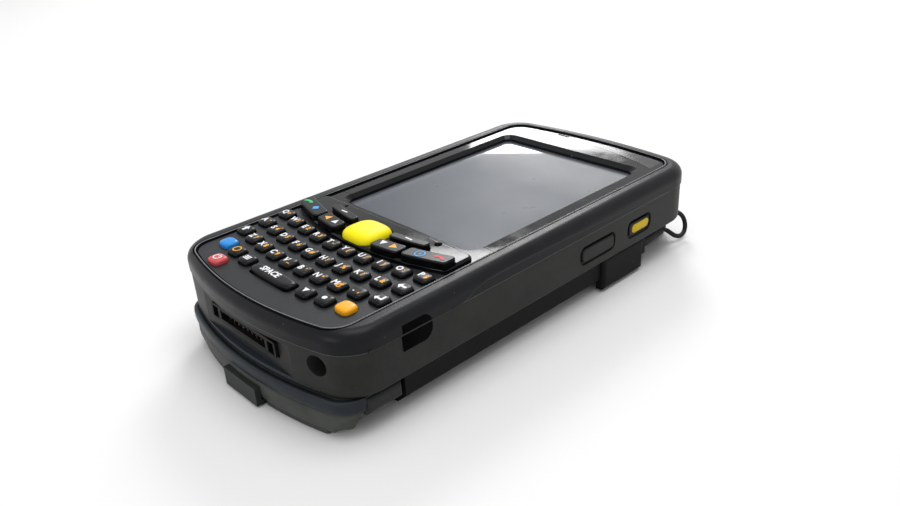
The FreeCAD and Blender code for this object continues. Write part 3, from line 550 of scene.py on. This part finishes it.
def textPart(words, x, y, z, size):
    # Flat letters turned into a mesh, centred on a point of the face.
    curve = bpy.data.curves.new("words", "FONT")
    curve.body = words
    curve.size = size * mm
    curve.align_x = "CENTER"
    curve.align_y = "CENTER"
    curve.resolution_u = 2
    curve.offset = letters["weight"] * size * mm
    obj = bpy.data.objects.new("words", curve)
    bpy.context.collection.objects.link(obj)
    bpy.context.view_layer.update()
    data = bpy.data.meshes.new_from_object(obj)
    co = np.empty(len(data.vertices) * 3)
    data.vertices.foreach_get("co", co)
    co = co.reshape(-1, 3)
    faces = [list(p.vertices) for p in data.polygons]
    bpy.data.objects.remove(obj)
    return np.stack([x + co[:, 0], y + co[:, 1], np.full(len(co), z)], -1), faces


def shapePart(points, x, y, z, size):
    # A flat polygon, anticlockwise, scaled about a point of the face.
    p = np.array(points, float) * size * mm
    return np.stack([x + p[:, 0], y + p[:, 1], np.full(len(p), z)], -1), [list(range(len(p)))]


shapes = {
    "up": [(-0.5, -0.4), (0.5, -0.4), (0, 0.5)],
    "down": [(-0.5, 0.4), (0, -0.5), (0.5, 0.4)],
    "left": [(0.4, -0.5), (0.4, 0.5), (-0.5, 0)],
    "right": [(-0.4, 0.5), (-0.4, -0.5), (0.5, 0)],
    "bar": [(-0.9, -0.16), (0.9, -0.16), (0.9, 0.16), (-0.9, 0.16)],
    "back": [(-0.6, 0.0), (-0.1, -0.5), (-0.1, -0.15), (0.6, -0.15), (0.6, 0.15), (-0.1, 0.15), (-0.1, 0.5)],
    "enter": [(-0.6, -0.2), (-0.15, -0.6), (-0.15, -0.32), (0.6, -0.32), (0.6, 0.5), (0.35, 0.5),
              (0.35, -0.08), (-0.15, -0.08), (-0.15, 0.2)],
    "shift": [(0.0, 0.6), (-0.5, 0.05), (-0.2, 0.05), (-0.2, -0.5), (0.2, -0.5), (0.2, 0.05), (0.5, 0.05)],
    "dot": [(0.35 * math.cos(a), 0.35 * math.sin(a)) for a in np.arange(16) * math.pi / 8],
    "stem": [(-0.12, 0.0), (0.12, 0.0), (0.12, 0.85), (-0.12, 0.85)],
    "diamond": [(-0.5, 0.0), (0.0, -0.5), (0.5, 0.0), (0.0, 0.5)],
}


def ringPart(outer, inner, x, y, z, start=0.0, sweep=360.0, count=28):
    # A flat ring or arc band between two radii.
    a = np.radians(start + np.linspace(0, sweep, count))
    turn = np.stack([np.cos(a), np.sin(a)], -1)
    p = np.vstack([outer * turn, inner * turn]) * mm
    verts = np.stack([x + p[:, 0], y + p[:, 1], np.full(len(p), z)], -1)
    return verts, [[i, count + i, count + i + 1, i + 1] for i in range(count - 1)]


def addMarks(name, parts, material, body):
    obj = meshObject(name, *joined(parts), smooth=False)
    obj.data.materials.append(look[material])
    wall = obj.modifiers.new("wall", "SOLIDIFY")
    wall.thickness = letters["thickness"] * mm
    wall.offset = -1
    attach(obj, body)


def topMark(node, parts, material, suffix="_mark"):
    addMarks(node + suffix, parts, material, node + "_body")


def beside(centre, dx, dy):
    return centre[0] + dx * mm, centre[1] + dy * mm


keyTopZ = faceZ + (keypad["topAboveFace"] + letters["lift"]) * mm
iconKeys = {"<": "back", "^": "shift", "=": "enter"}
for index, node in enumerate(letterColumns):
    white, amber = [], []
    for row, centre in enumerate(keyCentres[node]):
        sign = letters["rows"][row][index]
        if sign in iconKeys:
            icon = shapes[iconKeys[sign]]
            white.append(shapePart(icon, centre[0], centre[1], keyTopZ, letters["iconSize"]))
            continue
        white.append(textPart(sign, *beside(centre, letters["letterShift"], 0), keyTopZ, letters["size"]))
        place = beside(centre, letters["markShift"], letters["markDrop"])
        amber.append(textPart(letters["marks"][row][index], *place, keyTopZ, letters["markSize"]))
    addMarks(node + "_letters", white, "white", node + "_body")
    if amber:
        addMarks(node + "_marks", amber, "amber", node + "_body")

# Marks of the other keys: sizes, radii and shifts from the key's centre in mm, and arcs as their start and
# sweep in degrees
marks = {
    "space": 2.7, "spaceShift": (-1.5, 0.2),
    "symbolRing": (1.3, 0.95),
    "menuBar": 1.3, "menuGap": 0.6,
    "view": 1.9,
    "record": 2.0,
    "powerRing": (1.25, 0.9), "powerArc": (120, 300), "powerStem": 1.4, "powerLift": 0.3,
    "arrow": 2.2, "arrowShift": 2.1, "turn": 2.4, "turnShift": (2.0, 0.3),
    "softBar": 1.4, "softDrop": -0.1,
    "diamond": 2.4, "diamondShift": (1.9, -0.7),
    "handset": (2.6, 1.6), "handsetArc": (40, 100), "callShift": (3.6, -1.0), "endShift": (3.4, -0.9),
    "plusRing": (1.5, 1.15), "plus": 2.0, "plusShift": (1.9, -0.9),
    "navTop": 2.9,  # above the face
}
keyMiddle = {node: keyCentres[node][0][:2] for node in plainKeys}
place = beside(keyMiddle["space_key"], *marks["spaceShift"])
topMark("space_key", [textPart("SPACE", *place, keyTopZ, marks["space"])], "white")
topMark("symbol_key", [ringPart(*marks["symbolRing"], *keyMiddle["symbol_key"], keyTopZ)], "amber")
bars = [beside(keyMiddle["menu_key"], 0, row * marks["menuGap"]) for row in (-1, 0, 1)]
topMark("menu_key", [shapePart(shapes["bar"], *bar, keyTopZ, marks["menuBar"]) for bar in bars], "white")
topMark("view_key", [shapePart(shapes["down"], *keyMiddle["view_key"], keyTopZ, marks["view"])], "white")
topMark("record_key", [shapePart(shapes["dot"], *keyMiddle["record_key"], keyTopZ, marks["record"])], "white")
ring = ringPart(*marks["powerRing"], *keyMiddle["power_key"], keyTopZ, *marks["powerArc"])
place = beside(keyMiddle["power_key"], 0, marks["powerLift"])
topMark("power_key", [ring, shapePart(shapes["stem"], *place, keyTopZ, marks["powerStem"])], "white")


def centreOf(node):
    low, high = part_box(node)
    return (np.array(low) + np.array(high)) / 2


navTopZ = faceZ + (marks["navTop"] + letters["lift"]) * mm


def markCallKey():
    c = centreOf("call_key_left")
    place = beside(c, *marks["diamondShift"])
    topMark("call_key_left", [shapePart(shapes["diamond"], *place, navTopZ, marks["diamond"])], "sky")
    place = beside(c, -marks["callShift"][0], marks["callShift"][1])
    call = ringPart(*marks["handset"], *place, navTopZ, *marks["handsetArc"])
    topMark("call_key_left", [call], "green", "_call")


def markEndKey():
    c = centreOf("call_key_right")
    place = beside(c, -marks["plusShift"][0], marks["plusShift"][1])
    ring = ringPart(*marks["plusRing"], *place, navTopZ)
    topMark("call_key_right", [ring, textPart("+", *place, navTopZ, marks["plus"])], "sky")
    place = beside(c, *marks["endShift"])
    hangUp = ringPart(*marks["handset"], *place, navTopZ, *marks["handsetArc"])
    topMark("call_key_right", [hangUp], "rose", "_end")


for side, sign, arrow, markOuterKey in (("left", -1, "up", markCallKey), ("right", 1, "down", markEndKey)):
    c = centreOf("arrow_key_" + side)
    place = beside(c, -sign * marks["arrowShift"], 0)
    topMark("arrow_key_" + side, [shapePart(shapes[arrow], *place, navTopZ, marks["arrow"])], "white")
    place = beside(c, sign * marks["turnShift"][0], marks["turnShift"][1])
    topMark("arrow_key_" + side, [shapePart(shapes[side], *place, navTopZ, marks["turn"])], "amber", "_turn")
    place = beside(centreOf("soft_key_" + side), 0, marks["softDrop"])
    topMark("soft_key_" + side, [shapePart(shapes["bar"], *place, navTopZ, marks["softBar"])], "white")
    markOuterKey()
print("legends placed")


# Tether cord of the stylus: the same route as its CAD tube
tether = {
    "diameter": 1.5,
    "route": [(31.9, 61.2, 9.7), (31.9, 64.2, 9.7), (32.0, 67.4, 10.0), (32.3, 70.6, 9.9), (32.9, 73.3, 8.7),
              (33.7, 74.8, 6.6), (34.5, 74.9, 4.2), (35.1, 73.5, 2.3), (35.2, 71.2, 1.6), (34.8, 69.0, 2.2),
              (34.0, 67.3, 3.6), (33.0, 66.1, 4.9), (32.3, 64.9, 5.5), (32.3, 63.3, 5.5)],
}


def splinePoints(points, resolution=10):
    curve = bpy.data.curves.new("route", "CURVE")
    curve.dimensions = "3D"
    spline = curve.splines.new("NURBS")
    spline.points.add(len(points) - 1)
    for target, point in zip(spline.points, points):
        target.co = (*[v * mm for v in point], 1)
    spline.order_u = 3
    spline.use_endpoint_u = True
    spline.resolution_u = resolution
    obj = bpy.data.objects.new("route", curve)
    bpy.context.collection.objects.link(obj)
    bpy.context.view_layer.update()
    data = bpy.data.meshes.new_from_object(obj)
    co = np.array([v.co for v in data.vertices])
    bpy.data.objects.remove(obj)
    return co


def tubeRings(path, radius, sides=16):
    # A circle carried along a path, its frame turned as little as possible from point to point.
    tangent = np.gradient(path, axis=0)
    tangent /= np.linalg.norm(tangent, axis=1)[:, None]
    side = np.cross(tangent[0], (0, 0, 1.0))
    side /= np.linalg.norm(side)
    angle = np.linspace(0, 2 * math.pi, sides, endpoint=False)
    rings = []
    for point, t in zip(path, tangent):
        side = side - side.dot(t) * t
        side /= np.linalg.norm(side)
        other = np.cross(t, side)
        rings.append(point + radius * (np.outer(np.cos(angle), side) + np.outer(np.sin(angle), other)))
    return np.array(rings)


def addTether():
    path = splinePoints(tether["route"])
    cord = meshObject("tether", *ringsObject(tubeRings(path, tether["diameter"] * mm / 2)))
    cord.data.materials.append(look["rubber"])
    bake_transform(cord)
    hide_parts("tether_cord")


addTether()
print("tether made")


# Hand strap: webbing round its bar, then along the back to the clip
strap = {
    "thickness": 1.3, "halfWidth": 13.0, "tipHalfWidth": 7.0, "taperStart": -50.0, "taperEnd": -60.0,
    "endY": -70.0, "barY": 41.0, "barZ": 3.0, "eye": 1.2, "lapY": 37.4,
    "edgeStart": 0.96, "edgeThinning": 0.72,  # shares of the half width and of the thickness
    "weaveWidth": 26.0, "weaveLength": 100.0,
    "turnStart": 0.15,  # radians past the top of the bar
    "lapPoints": 6, "turnPoints": 22, "runPoints": 120, "widthPoints": 25,
}


def addStrap():
    # A rounded flat section carried along lap, eye and run; its width narrows along the run.
    s = strap
    middle = s["eye"] + s["thickness"] / 2
    lap = [(y, s["barZ"] + middle) for y in np.linspace(s["lapY"], s["barY"], s["lapPoints"])]
    turn = [(s["barY"] + middle * math.sin(a), s["barZ"] + middle * math.cos(a))
            for a in np.linspace(s["turnStart"], math.pi, s["turnPoints"])]
    run = [(y, s["barZ"] - middle) for y in np.linspace(s["barY"], s["endY"], s["runPoints"])[1:]]
    path = np.array(lap + turn + run)
    tangent = np.gradient(path, axis=0)
    tangent /= np.linalg.norm(tangent, axis=1)[:, None]
    normal = np.stack([-tangent[:, 1], tangent[:, 0]], -1)
    along = np.concatenate([[0], np.cumsum(np.linalg.norm(np.diff(path, axis=0), axis=1))])
    half = np.full(len(path), s["halfWidth"])
    first = len(lap) + len(turn)
    share = np.clip((s["taperStart"] - path[first:, 0]) / (s["taperStart"] - s["taperEnd"]), 0, 1)
    share = share * share * (3 - 2 * share)
    half[first:] = s["halfWidth"] + (s["tipHalfWidth"] - s["halfWidth"]) * share
    t = s["thickness"] / 2
    flat = np.linspace(-1, 1, s["widthPoints"])
    section = [(f, -t) for f in flat] + [(1.0, 0.0)] + [(f, t) for f in flat[::-1]] + [(-1.0, 0.0)]
    section = np.array(section)
    edge = np.where(np.abs(section[:, 0]) > s["edgeStart"], s["edgeThinning"], 1.0)
    across = section[:, 0][None, :] * half[:, None]
    offset = section[:, 1][None, :] * edge[None, :]
    y = path[:, 0][:, None] + normal[:, 0][:, None] * offset
    z = path[:, 1][:, None] + normal[:, 1][:, None] * offset
    rings = np.stack([across, y, z], -1) * mm
    web = meshObject("strap_webbing", *ringsObject(rings))
    uv = web.data.uv_layers.new(name="UVMap")
    cols = len(section)
    total = len(path) * cols
    points = np.empty(len(web.data.loops), int)
    web.data.loops.foreach_get("vertex_index", points)
    capped = np.minimum(points, total - 1)
    u = across.reshape(-1)[capped] / s["weaveWidth"]
    v = np.repeat(along, cols)[capped] / s["weaveLength"]
    uv.data.foreach_set("uv", np.stack([u, v], -1).reshape(-1))
    web.data.materials.append(look["web"])
    fixNormals(web)
    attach(web, "strap")
    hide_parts("hand_strap")


def fixNormals(obj):
    work = bmesh.new()
    work.from_mesh(obj.data)
    bmesh.ops.recalc_face_normals(work, faces=work.faces)
    work.to_mesh(obj.data)
    work.free()


addStrap()
print("strap made")


# Outlines of the casing in mm, as in the solid parts
plan = {
    "faceHalf": 32.8, "faceLow": -71.1, "faceHigh": 68.6, "faceCorner": 6.0,
    "half": 38.3, "low": -73.4, "high": 73.4, "corner": 11.0,
    "lipHalf": 36.6, "lipLow": -74.5, "endHalf": 34.8, "endLow": -74.0, "endCorner": 7.0,
    "lowRadius": 112.0, "highRadius": 200.0,
}


def arcPoints(centre, radius, start, stop, count):
    a = np.radians(np.linspace(start, stop, count))
    return np.stack([centre[0] + radius * np.cos(a), centre[1] + radius * np.sin(a)], -1)


def bowedEnd(half, end, bow, corner, sign, count=14):
    # One end of a bowed outline, from the right side round to the left: corner arc, bow, corner arc.
    bowCentre = end - sign * bow
    x = half - corner
    y = bowCentre + sign * math.sqrt((bow - corner) ** 2 - x ** 2)
    lean = math.degrees(math.atan2(abs(y - bowCentre), x))
    right = arcPoints((x, y), corner, 0, sign * lean, count)
    middle = arcPoints((0, bowCentre), bow, sign * lean, sign * (180 - lean), 3 * count)[1:-1]
    left = arcPoints((-x, y), corner, sign * (180 - lean), sign * 180, count)
    return np.vstack([right, middle, left])


def loopPath(half, low, high, corner):
    # The whole outline: the low end, the left side, the high end, the right side.
    first = bowedEnd(half, low, plan["lowRadius"], corner, -1)
    last = bowedEnd(half, high, plan["highRadius"], corner, 1)
    share = np.linspace(0, 1, 30)[1:-1, None]
    left = first[-1] + (last[-1] - first[-1]) * share
    right = last[0] + (first[0] - last[0]) * share
    return np.vstack([first, left, last[::-1], right])


def outward(path, closed):
    # Unit normals of a plan outline, away from its middle.
    if closed:
        step = np.roll(path, -1, axis=0) - np.roll(path, 1, axis=0)
    else:
        step = np.gradient(path, axis=0)
    step /= np.linalg.norm(step, axis=1)[:, None]
    normal = np.stack([step[:, 1], -step[:, 0]], -1)
    if (normal * path).sum() < 0:
        normal = -normal
    return normal


def carried(path, section, closed=False):
    # A section of (outward, height) pairs, or one section per point, carried along a plan outline.
    normal = outward(path, closed)
    section = np.asarray(section, float)
    if section.ndim == 2:
        section = np.repeat(section[None], len(path), axis=0)
    xy = path[:, None, :] + normal[:, None, :] * section[:, :, :1]
    rings = np.concatenate([xy, section[:, :, 1:]], -1) * mm
    if closed:
        rings = np.concatenate([rings, rings[:1]])
    return rings


def weld(obj):
    work = bmesh.new()
    work.from_mesh(obj.data)
    bmesh.ops.remove_doubles(work, verts=work.verts, dist=1e-6)
    work.to_mesh(obj.data)
    work.free()


def addTrim(name, rings, material, body, closed=False):
    obj = meshObject(name, *ringsObject(rings, not closed))
    if closed:
        weld(obj)
    obj.data.materials.append(look[material])
    fixNormals(obj)
    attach(obj, body)


def roundSection(radius, x, z, sides=10):
    a = np.linspace(0, 2 * math.pi, sides, endpoint=False)
    return np.stack([x + radius * np.cos(a), z + radius * np.sin(a)], -1)


# Rim: beads as (radius, outward, height), which are painted highlights, and grooves as (from, to, bottom,
# top), which are dark strips of painted shadow, in mm
rim = {
    "edgeHighlightBead": (0.13, 0.22, 28.88),
    "faceGrooveShadow": (-0.02, -0.55, 28.40, 28.44),
    "topGrooveShadow": (0.55, 0.9, 28.86, 28.905),
    "seamHighlightBead": (0.17, 0.02, 23.30),
}


def addRim():
    # Painted highlights: a light-grey bead round the face and a pale bead on the seam below; painted shadow:
    # the dark groove lines.
    path = loopPath(plan["faceHalf"], plan["faceLow"], plan["faceHigh"], plan["faceCorner"])
    addTrim("face_edge_highlight", carried(path, roundSection(*rim["edgeHighlightBead"]), True), "edge", "casing", True)
    for name, key in (("face_groove_shadow", "faceGrooveShadow"), ("rim_groove_shadow", "topGrooveShadow")):
        start, stop, bottom, top = rim[key]
        groove = [(start, top), (stop, top), (stop, bottom), (start, bottom)]
        addTrim(name, carried(path, groove, True), "pit", "casing", True)
    path = loopPath(plan["half"], plan["low"], plan["high"], plan["corner"])
    addTrim("rim_seam_highlight", carried(path, roundSection(*rim["seamHighlightBead"]), True), "seam", "casing", True)


batteryEnd = {
    "lip": [(-1.2, 7.1), (-0.2, 7.15), (0.16, 7.5), (0.30, 8.4), (0.30, 9.8), (0.16, 10.7), (-0.2, 10.95),
            (-1.2, 10.95)],  # outward and height, mm
    "outer": (0.25, 0.55, 0.62, 0.50, 0.15, -0.7, -2.2),
    "height": (7.2, 6.2, 4.9, 3.5, 2.0, 0.7, 0.12),
    "inner": -2.6,
    "riseStart": 30.5, "riseWidth": 4.3, "riseShare": 0.62,  # the lower edge sweeps up towards the sides
    "points": 20,
}


def addBatteryEnd():
    # Lip and swept lower end of the battery, carried round the low end of the casing.
    b = batteryEnd
    lip = bowedEnd(plan["lipHalf"], plan["lipLow"], plan["lowRadius"], plan["endCorner"], -1)
    addTrim("battery_lip", carried(lip, b["lip"]), "lip", "battery")
    end = bowedEnd(plan["endHalf"], plan["endLow"], plan["lowRadius"], plan["endCorner"], -1, b["points"])
    rise = np.clip((np.abs(end[:, 0]) - b["riseStart"]) / b["riseWidth"], 0, 1)
    rise = rise * rise * (3 - 2 * rise)
    outer = np.array(b["outer"])
    height = np.array(b["height"])
    top = height[0]
    z = height[None, :] + (top - height[None, :]) * b["riseShare"] * rise[:, None]
    x = np.repeat(outer[None, :], len(end), axis=0)
    inner = np.stack([np.full(len(end), b["inner"]), z[:, -1]], -1)[:, None, :]
    back = np.stack([np.full(len(end), b["inner"]), np.full(len(end), top)], -1)[:, None, :]
    section = np.concatenate([np.stack([x, z], -1), inner, back], axis=1)
    addTrim("battery_end", carried(end, section), "battery", "battery")


# Ridge: distance along Y and depth below the face, mm
ridge = {
    "points": [(-62.0, 5.05), (-46.0, 5.1), (-38.0, 5.25), (-33.5, 5.2), (-30.4, 4.4), (-28.4, 3.2),
               (-25.4, 2.45), (-20.0, 2.2), (-6.0, 2.3), (9.0, 2.6), (27.0, 3.2), (43.5, 4.2), (54.0, 4.9),
               (61.0, 5.05)],
    "x": 38.22, "radius": 0.34, "sides": 12, "smoothness": 12,
}
sideNames = {1: "right", -1: "left"}


def addFlankRidge(side):
    # The low ridge along a flank: level under the rim, then swept up and slowly down again.
    route = [(ridge["x"] * side, y, faceHeight - depth) for y, depth in ridge["points"]]
    path = splinePoints(route, ridge["smoothness"])
    rings = tubeRings(path, ridge["radius"] * mm, ridge["sides"])
    addTrim("flank_ridge_" + sideNames[side], rings, "housing", "casing")


def flankLoop(y, z, half, radius, count=64):
    # A rounded rectangle on a flank, given as half sizes along Y and Z.
    t = np.linspace(0, 2 * math.pi, count, endpoint=False)
    loopY = y + np.sign(np.cos(t)) * (half[0] - radius) + radius * np.cos(t)
    loopZ = z + np.sign(np.sin(t)) * (half[1] - radius) + radius * np.sin(t)
    return np.stack([loopY, loopZ], -1)


def addPlate(name, side, loop, x, thickness, material, body):
    rings = [np.column_stack([np.full(len(loop), side * o), loop]) * mm for o in (x - thickness, x)]
    addTrim(name, np.array(rings), material, body)


# Inlay of a scan button, mm
inlay = {"y": 42.4, "z": 16.9, "half": (4.2, 1.35), "corner": 1.3, "proud": 0.03, "thickness": 0.2}


def addInlay(side):
    node = "scan_button_" + sideNames[side]
    low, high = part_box(node)
    face = max(abs(low[0]), abs(high[0])) / mm
    loop = flankLoop(inlay["y"], inlay["z"], inlay["half"], inlay["corner"], 48)
    addPlate(node + "_inlay", side, loop, face + inlay["proud"], inlay["thickness"], "patch", node + "_body")


# Shade over a cradle pocket, mm
pocket = {
    "y": -47.6, "z": 22.3, "half": (4.65, 3.5), "corner": 3.0, "nearY": -52.2,
    "x": 38.5, "thickness": 0.3, "stretch": 1.2,  # stretch squares the near corners
}


def addPocketShade(side):
    # The cradle pocket reads as one dark opening with its far end rounded and its near end square.
    loop = flankLoop(pocket["y"], pocket["z"], pocket["half"], pocket["corner"])
    near = loop[:, 0] < pocket["y"]
    loop[near, 0] = pocket["nearY"]
    reach = pocket["half"][1]
    loop[near, 1] = pocket["z"] + np.clip((loop[near, 1] - pocket["z"]) * pocket["stretch"], -reach, reach)
    addPlate("pocket_shade_" + sideNames[side], side, loop, pocket["x"], pocket["thickness"], "pit", "casing")


microphone = {"place": (19.8, -23.1, 29.64), "radius": 1.15, "thickness": 0.1}


# A dark disc over the microphone hole: painted shade of the hole.
def addMicrophoneHoleShade():
    x, y, z = microphone["place"]
    t = np.linspace(0, 2 * math.pi, 32, endpoint=False)
    loop = np.stack([x + microphone["radius"] * np.cos(t), y + microphone["radius"] * np.sin(t)], -1)
    levels = (z - microphone["thickness"], z)
    rings = [np.concatenate([loop, np.full((32, 1), level)], -1) * mm for level in levels]
    addTrim("microphone_hole_shade", np.array(rings), "pit", "casing")


# Painted shadow lines in the grooves round the side buttons, mm; each button has its side, its middle along Y
# and its length
groove = {
    "z": 17.0, "low": 37.63, "high": 37.69,
    "outer": (0.90, 2.85, 2.0), "inner": (0.30, 2.25, 1.6),  # spare length, half height, corner
    "count": 96, "first": 12, "last": 60,
}
buttons = {
    "function_button": (1, 21.7, 14.4), "scan_button_right": (1, 41.9, 10.0),
    "scan_button_left": (-1, 41.9, 10.0), "volume_button": (-1, 18.0, 20.0),
}


def addGrooveShadowLine(node):
    # The shadow line over the top and the near end of a side button.
    side, y, length = buttons[node]
    loops = []
    for spare, halfHeight, corner in (groove["outer"], groove["inner"]):
        loop = flankLoop(y, groove["z"], (length / 2 + spare, halfHeight), corner, groove["count"])
        loops.append(loop[groove["first"]:groove["last"]])
    low, high = groove["low"] * side, groove["high"] * side
    rings = [[(low, *a), (high, *a), (high, *b), (low, *b)] for a, b in zip(*loops)]
    addTrim(node + "_groove", np.array(rings) * mm, "pit", "casing")


addRim()
addBatteryEnd()
for side in sideNames:
    addFlankRidge(side)
for side in sideNames:
    addInlay(side)
    addPocketShade(side)
addMicrophoneHoleShade()
for node in buttons:
    addGrooveShadowLine(node)
print("trim made")


# Studio
studio = {
    "floorColour": (0.86, 0.86, 0.86), "floorSize": 3.0, "floorRoughness": 0.9,
    "ambient": 0.45,  # strength of the white surroundings where they light a matt surface
    # place, target, size in metres and power in watts of each lamp
    "lamps": {
        "overhead": ((0.1, 0.1, 1.0), (0, 0, 0), (0.7, 0.7), 6.0),
        "windowBehind": ((-0.673, 0.748, 0.72), (0, 0, 0.03), (0.36, 0.30), 5.0),
        "farCard": ((-0.715, 0.885, 0.375), (0, 0, 0.03), (0.26, 0.10), 1.0),
        "frontFill": ((0.1, -1.1, 0.45), (0, 0, 0), (0.6, 0.4), 2.2),
    },
}


def addFloor():
    half = studio["floorSize"] / 2
    corners = [(-half, -half, 0), (half, -half, 0), (half, half, 0), (-half, half, 0)]
    floor = meshObject("floor", corners, [[0, 1, 2, 3]])
    material = bpy.data.materials.new("floorPaper")
    material.use_nodes = True
    tree = material.node_tree
    shader = tree.nodes["Principled BSDF"]
    shader.inputs["Base Color"].default_value = (*studio["floorColour"], 1)
    shader.inputs["Roughness"].default_value = studio["floorRoughness"]
    floor.data.materials.append(material)


def addLight(name, place, target, size, power):
    data = bpy.data.lights.new(name, "AREA")
    data.shape = "RECTANGLE"
    data.size, data.size_y = size
    data.energy = power
    obj = bpy.data.objects.new(name, data)
    bpy.context.collection.objects.link(obj)
    obj.location = place
    obj.rotation_euler = (Vector(target) - Vector(place)).to_track_quat("-Z", "Y").to_euler()


def addWorld():
    world = bpy.data.worlds.new("studio")
    bpy.context.scene.world = world
    world.use_nodes = True
    tree = world.node_tree
    background = tree.nodes["Background"]
    path = tree.nodes.new("ShaderNodeLightPath")
    seen = mathNode(tree, "MAXIMUM", path.outputs["Is Camera Ray"], path.outputs["Is Transmission Ray"])
    seen = mathNode(tree, "MAXIMUM", seen, path.outputs["Is Glossy Ray"])
    extra = mathNode(tree, "MULTIPLY", seen, 1 - studio["ambient"])
    strength = mathNode(tree, "ADD", extra, studio["ambient"], True)
    tree.links.new(strength, background.inputs["Strength"])
    background.inputs["Color"].default_value = (1, 1, 1, 1)


addFloor()
addWorld()
for name, (place, target, size, power) in studio["lamps"].items():
    addLight(name, place, target, size, power)
bpy.context.scene.view_settings.view_transform = "Standard"
print("studio lit")
